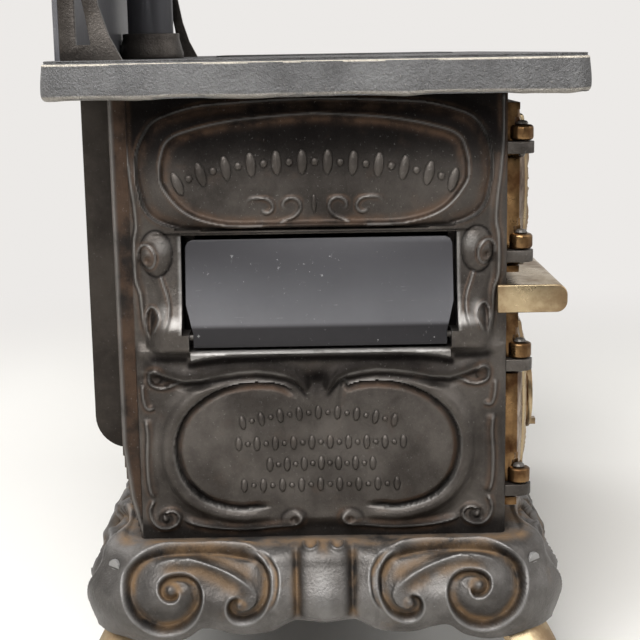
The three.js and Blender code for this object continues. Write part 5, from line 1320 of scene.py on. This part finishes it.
# Cooktop: a cast iron top that lies on the body. It is grainy, and its rim is worn grey. Its four lids and
# two centre pieces are castings of their own that lift out.
top_iron = aged_material("top_iron", iron_age, {
    "Black": (0.085, 0.084, 0.085, 1), "Grey": (0.16, 0.159, 0.16, 1), "Rust": (0.1, 0.07, 0.045, 1),
    "Bright": (0.6, 0.55, 0.47, 1), "Rust amount": 0.25, "Wear_and_sheen": 0.9, "Grain": 1.0}, bump=1.0, depth=0.002)
hob_iron = top_iron.copy()
hob_iron.name = "hob_iron"
ageing_of(hob_iron).inputs["Wear_and_sheen"].default_value = 0.2
# The rim's profile: steps out from the cooktop's edge, and heights.
rim_profile = [(-5.0, 294.4), (-2.5, 293.6), (-0.5, 293.8), (0.7, 295.2), (0.95, 297.5), (0.8, 301.0),
               (0.45, 304.5), (0.1, 307.3), (0.0, 308.7), (-0.8, 309.1), (-1.0, 309.6), (-0.8, 310.1),
               (-1.6, 310.4), (-3.4, 310.3), (-6.0, 309.9)]
top_half_length, top_half_depth, rim_corner, rim_step, rim_arc = 215.0, 118.0, 9.0, 1.1, 12
rim_groove, rim_low = 308.6, 295.3


def sand_cast(count, knots, seed):
    """Smooth noise round a closed loop, from -1 to 1."""
    values = np.random.default_rng(seed).uniform(-1, 1, knots)
    place = np.linspace(0, knots, count, endpoint=False)
    left = place.astype(int) % knots
    share = ease(place - place.astype(int))
    return values[left] * (1 - share) + values[(left + 1) % knots] * share


def build_rim():
    """The rim's face follows the cooktop's edge, with an uneven lower edge and a groove near the top."""
    places = walk_round(top_half_length, top_half_depth, rim_corner, (rim_step,) * 4, (rim_arc,) * 4)
    profile = smooth_line(rim_profile, 3)
    count = len(places)
    edge_waver = 0.5 * sand_cast(count, knots=60, seed=5) + 0.25 * sand_cast(count, knots=190, seed=6)
    face_waver = 0.22 * sand_cast(count, knots=90, seed=7)
    rings, rubbed_and_sheen = [], []
    for offset, z in profile:
        low = np.clip((299 - z) / 6, 0, 1)
        reach = rim_corner + offset + face_waver * (1 - low) * (offset > -2)
        rings.append(ring_at(places, reach, z + edge_waver * low))
        in_groove = abs(z - rim_groove) < 0.45 and offset > -0.5
        rubbed_and_sheen += [0.95 if in_groove else 0.4 * (z < rim_low)] * count
    made = make_mesh("cooktop_rim", np.concatenate(rings), tube_faces(len(profile), count), {"rubbed_and_sheen": rubbed_and_sheen})
    set_outward(made)
    return made


eased_copy("cooktop", hob_iron, "worn_iron", 0.9, 3, 30)
give(build_rim(), top_iron, stove, "worn_iron")
for lid in ("lid_fire_front", "lid_fire_rear", "lid_oven_front", "lid_oven_rear", "centre_piece_fire",
            "centre_piece_oven"):
    eased_copy(lid, hob_iron, "cast_iron", 0.5, 2, 30)

# Stovepipe: a pipe rolled from sheet steel, which stands in a cast iron collar behind the lids. A steel
# damper plate turns inside it on its spindle.
eased_copy("stovepipe", flap_steel, "sheet_steel", 0.3, 2, 30)
eased_copy("pipe_collar", plate_iron, "cast_iron", 0.6, 3, 30)
eased_copy("pipe_damper", rod_steel, "dark_steel", 0.2, 2, 30)

# High shelf: an iron shelf on two openwork brackets, which rise from the cooktop's rear corners. A sheet
# steel splash back stands behind it.
for side in ("left", "right"):
    eased_copy("shelf_bracket_" + side, plate_iron, "cast_iron", 0.5, 2, 30)
eased_copy("high_shelf", hob_iron, "worn_iron", 0.8, 3, 30)
eased_copy("splash_back", flap_steel, "sheet_steel", 0.3, 2, 30)
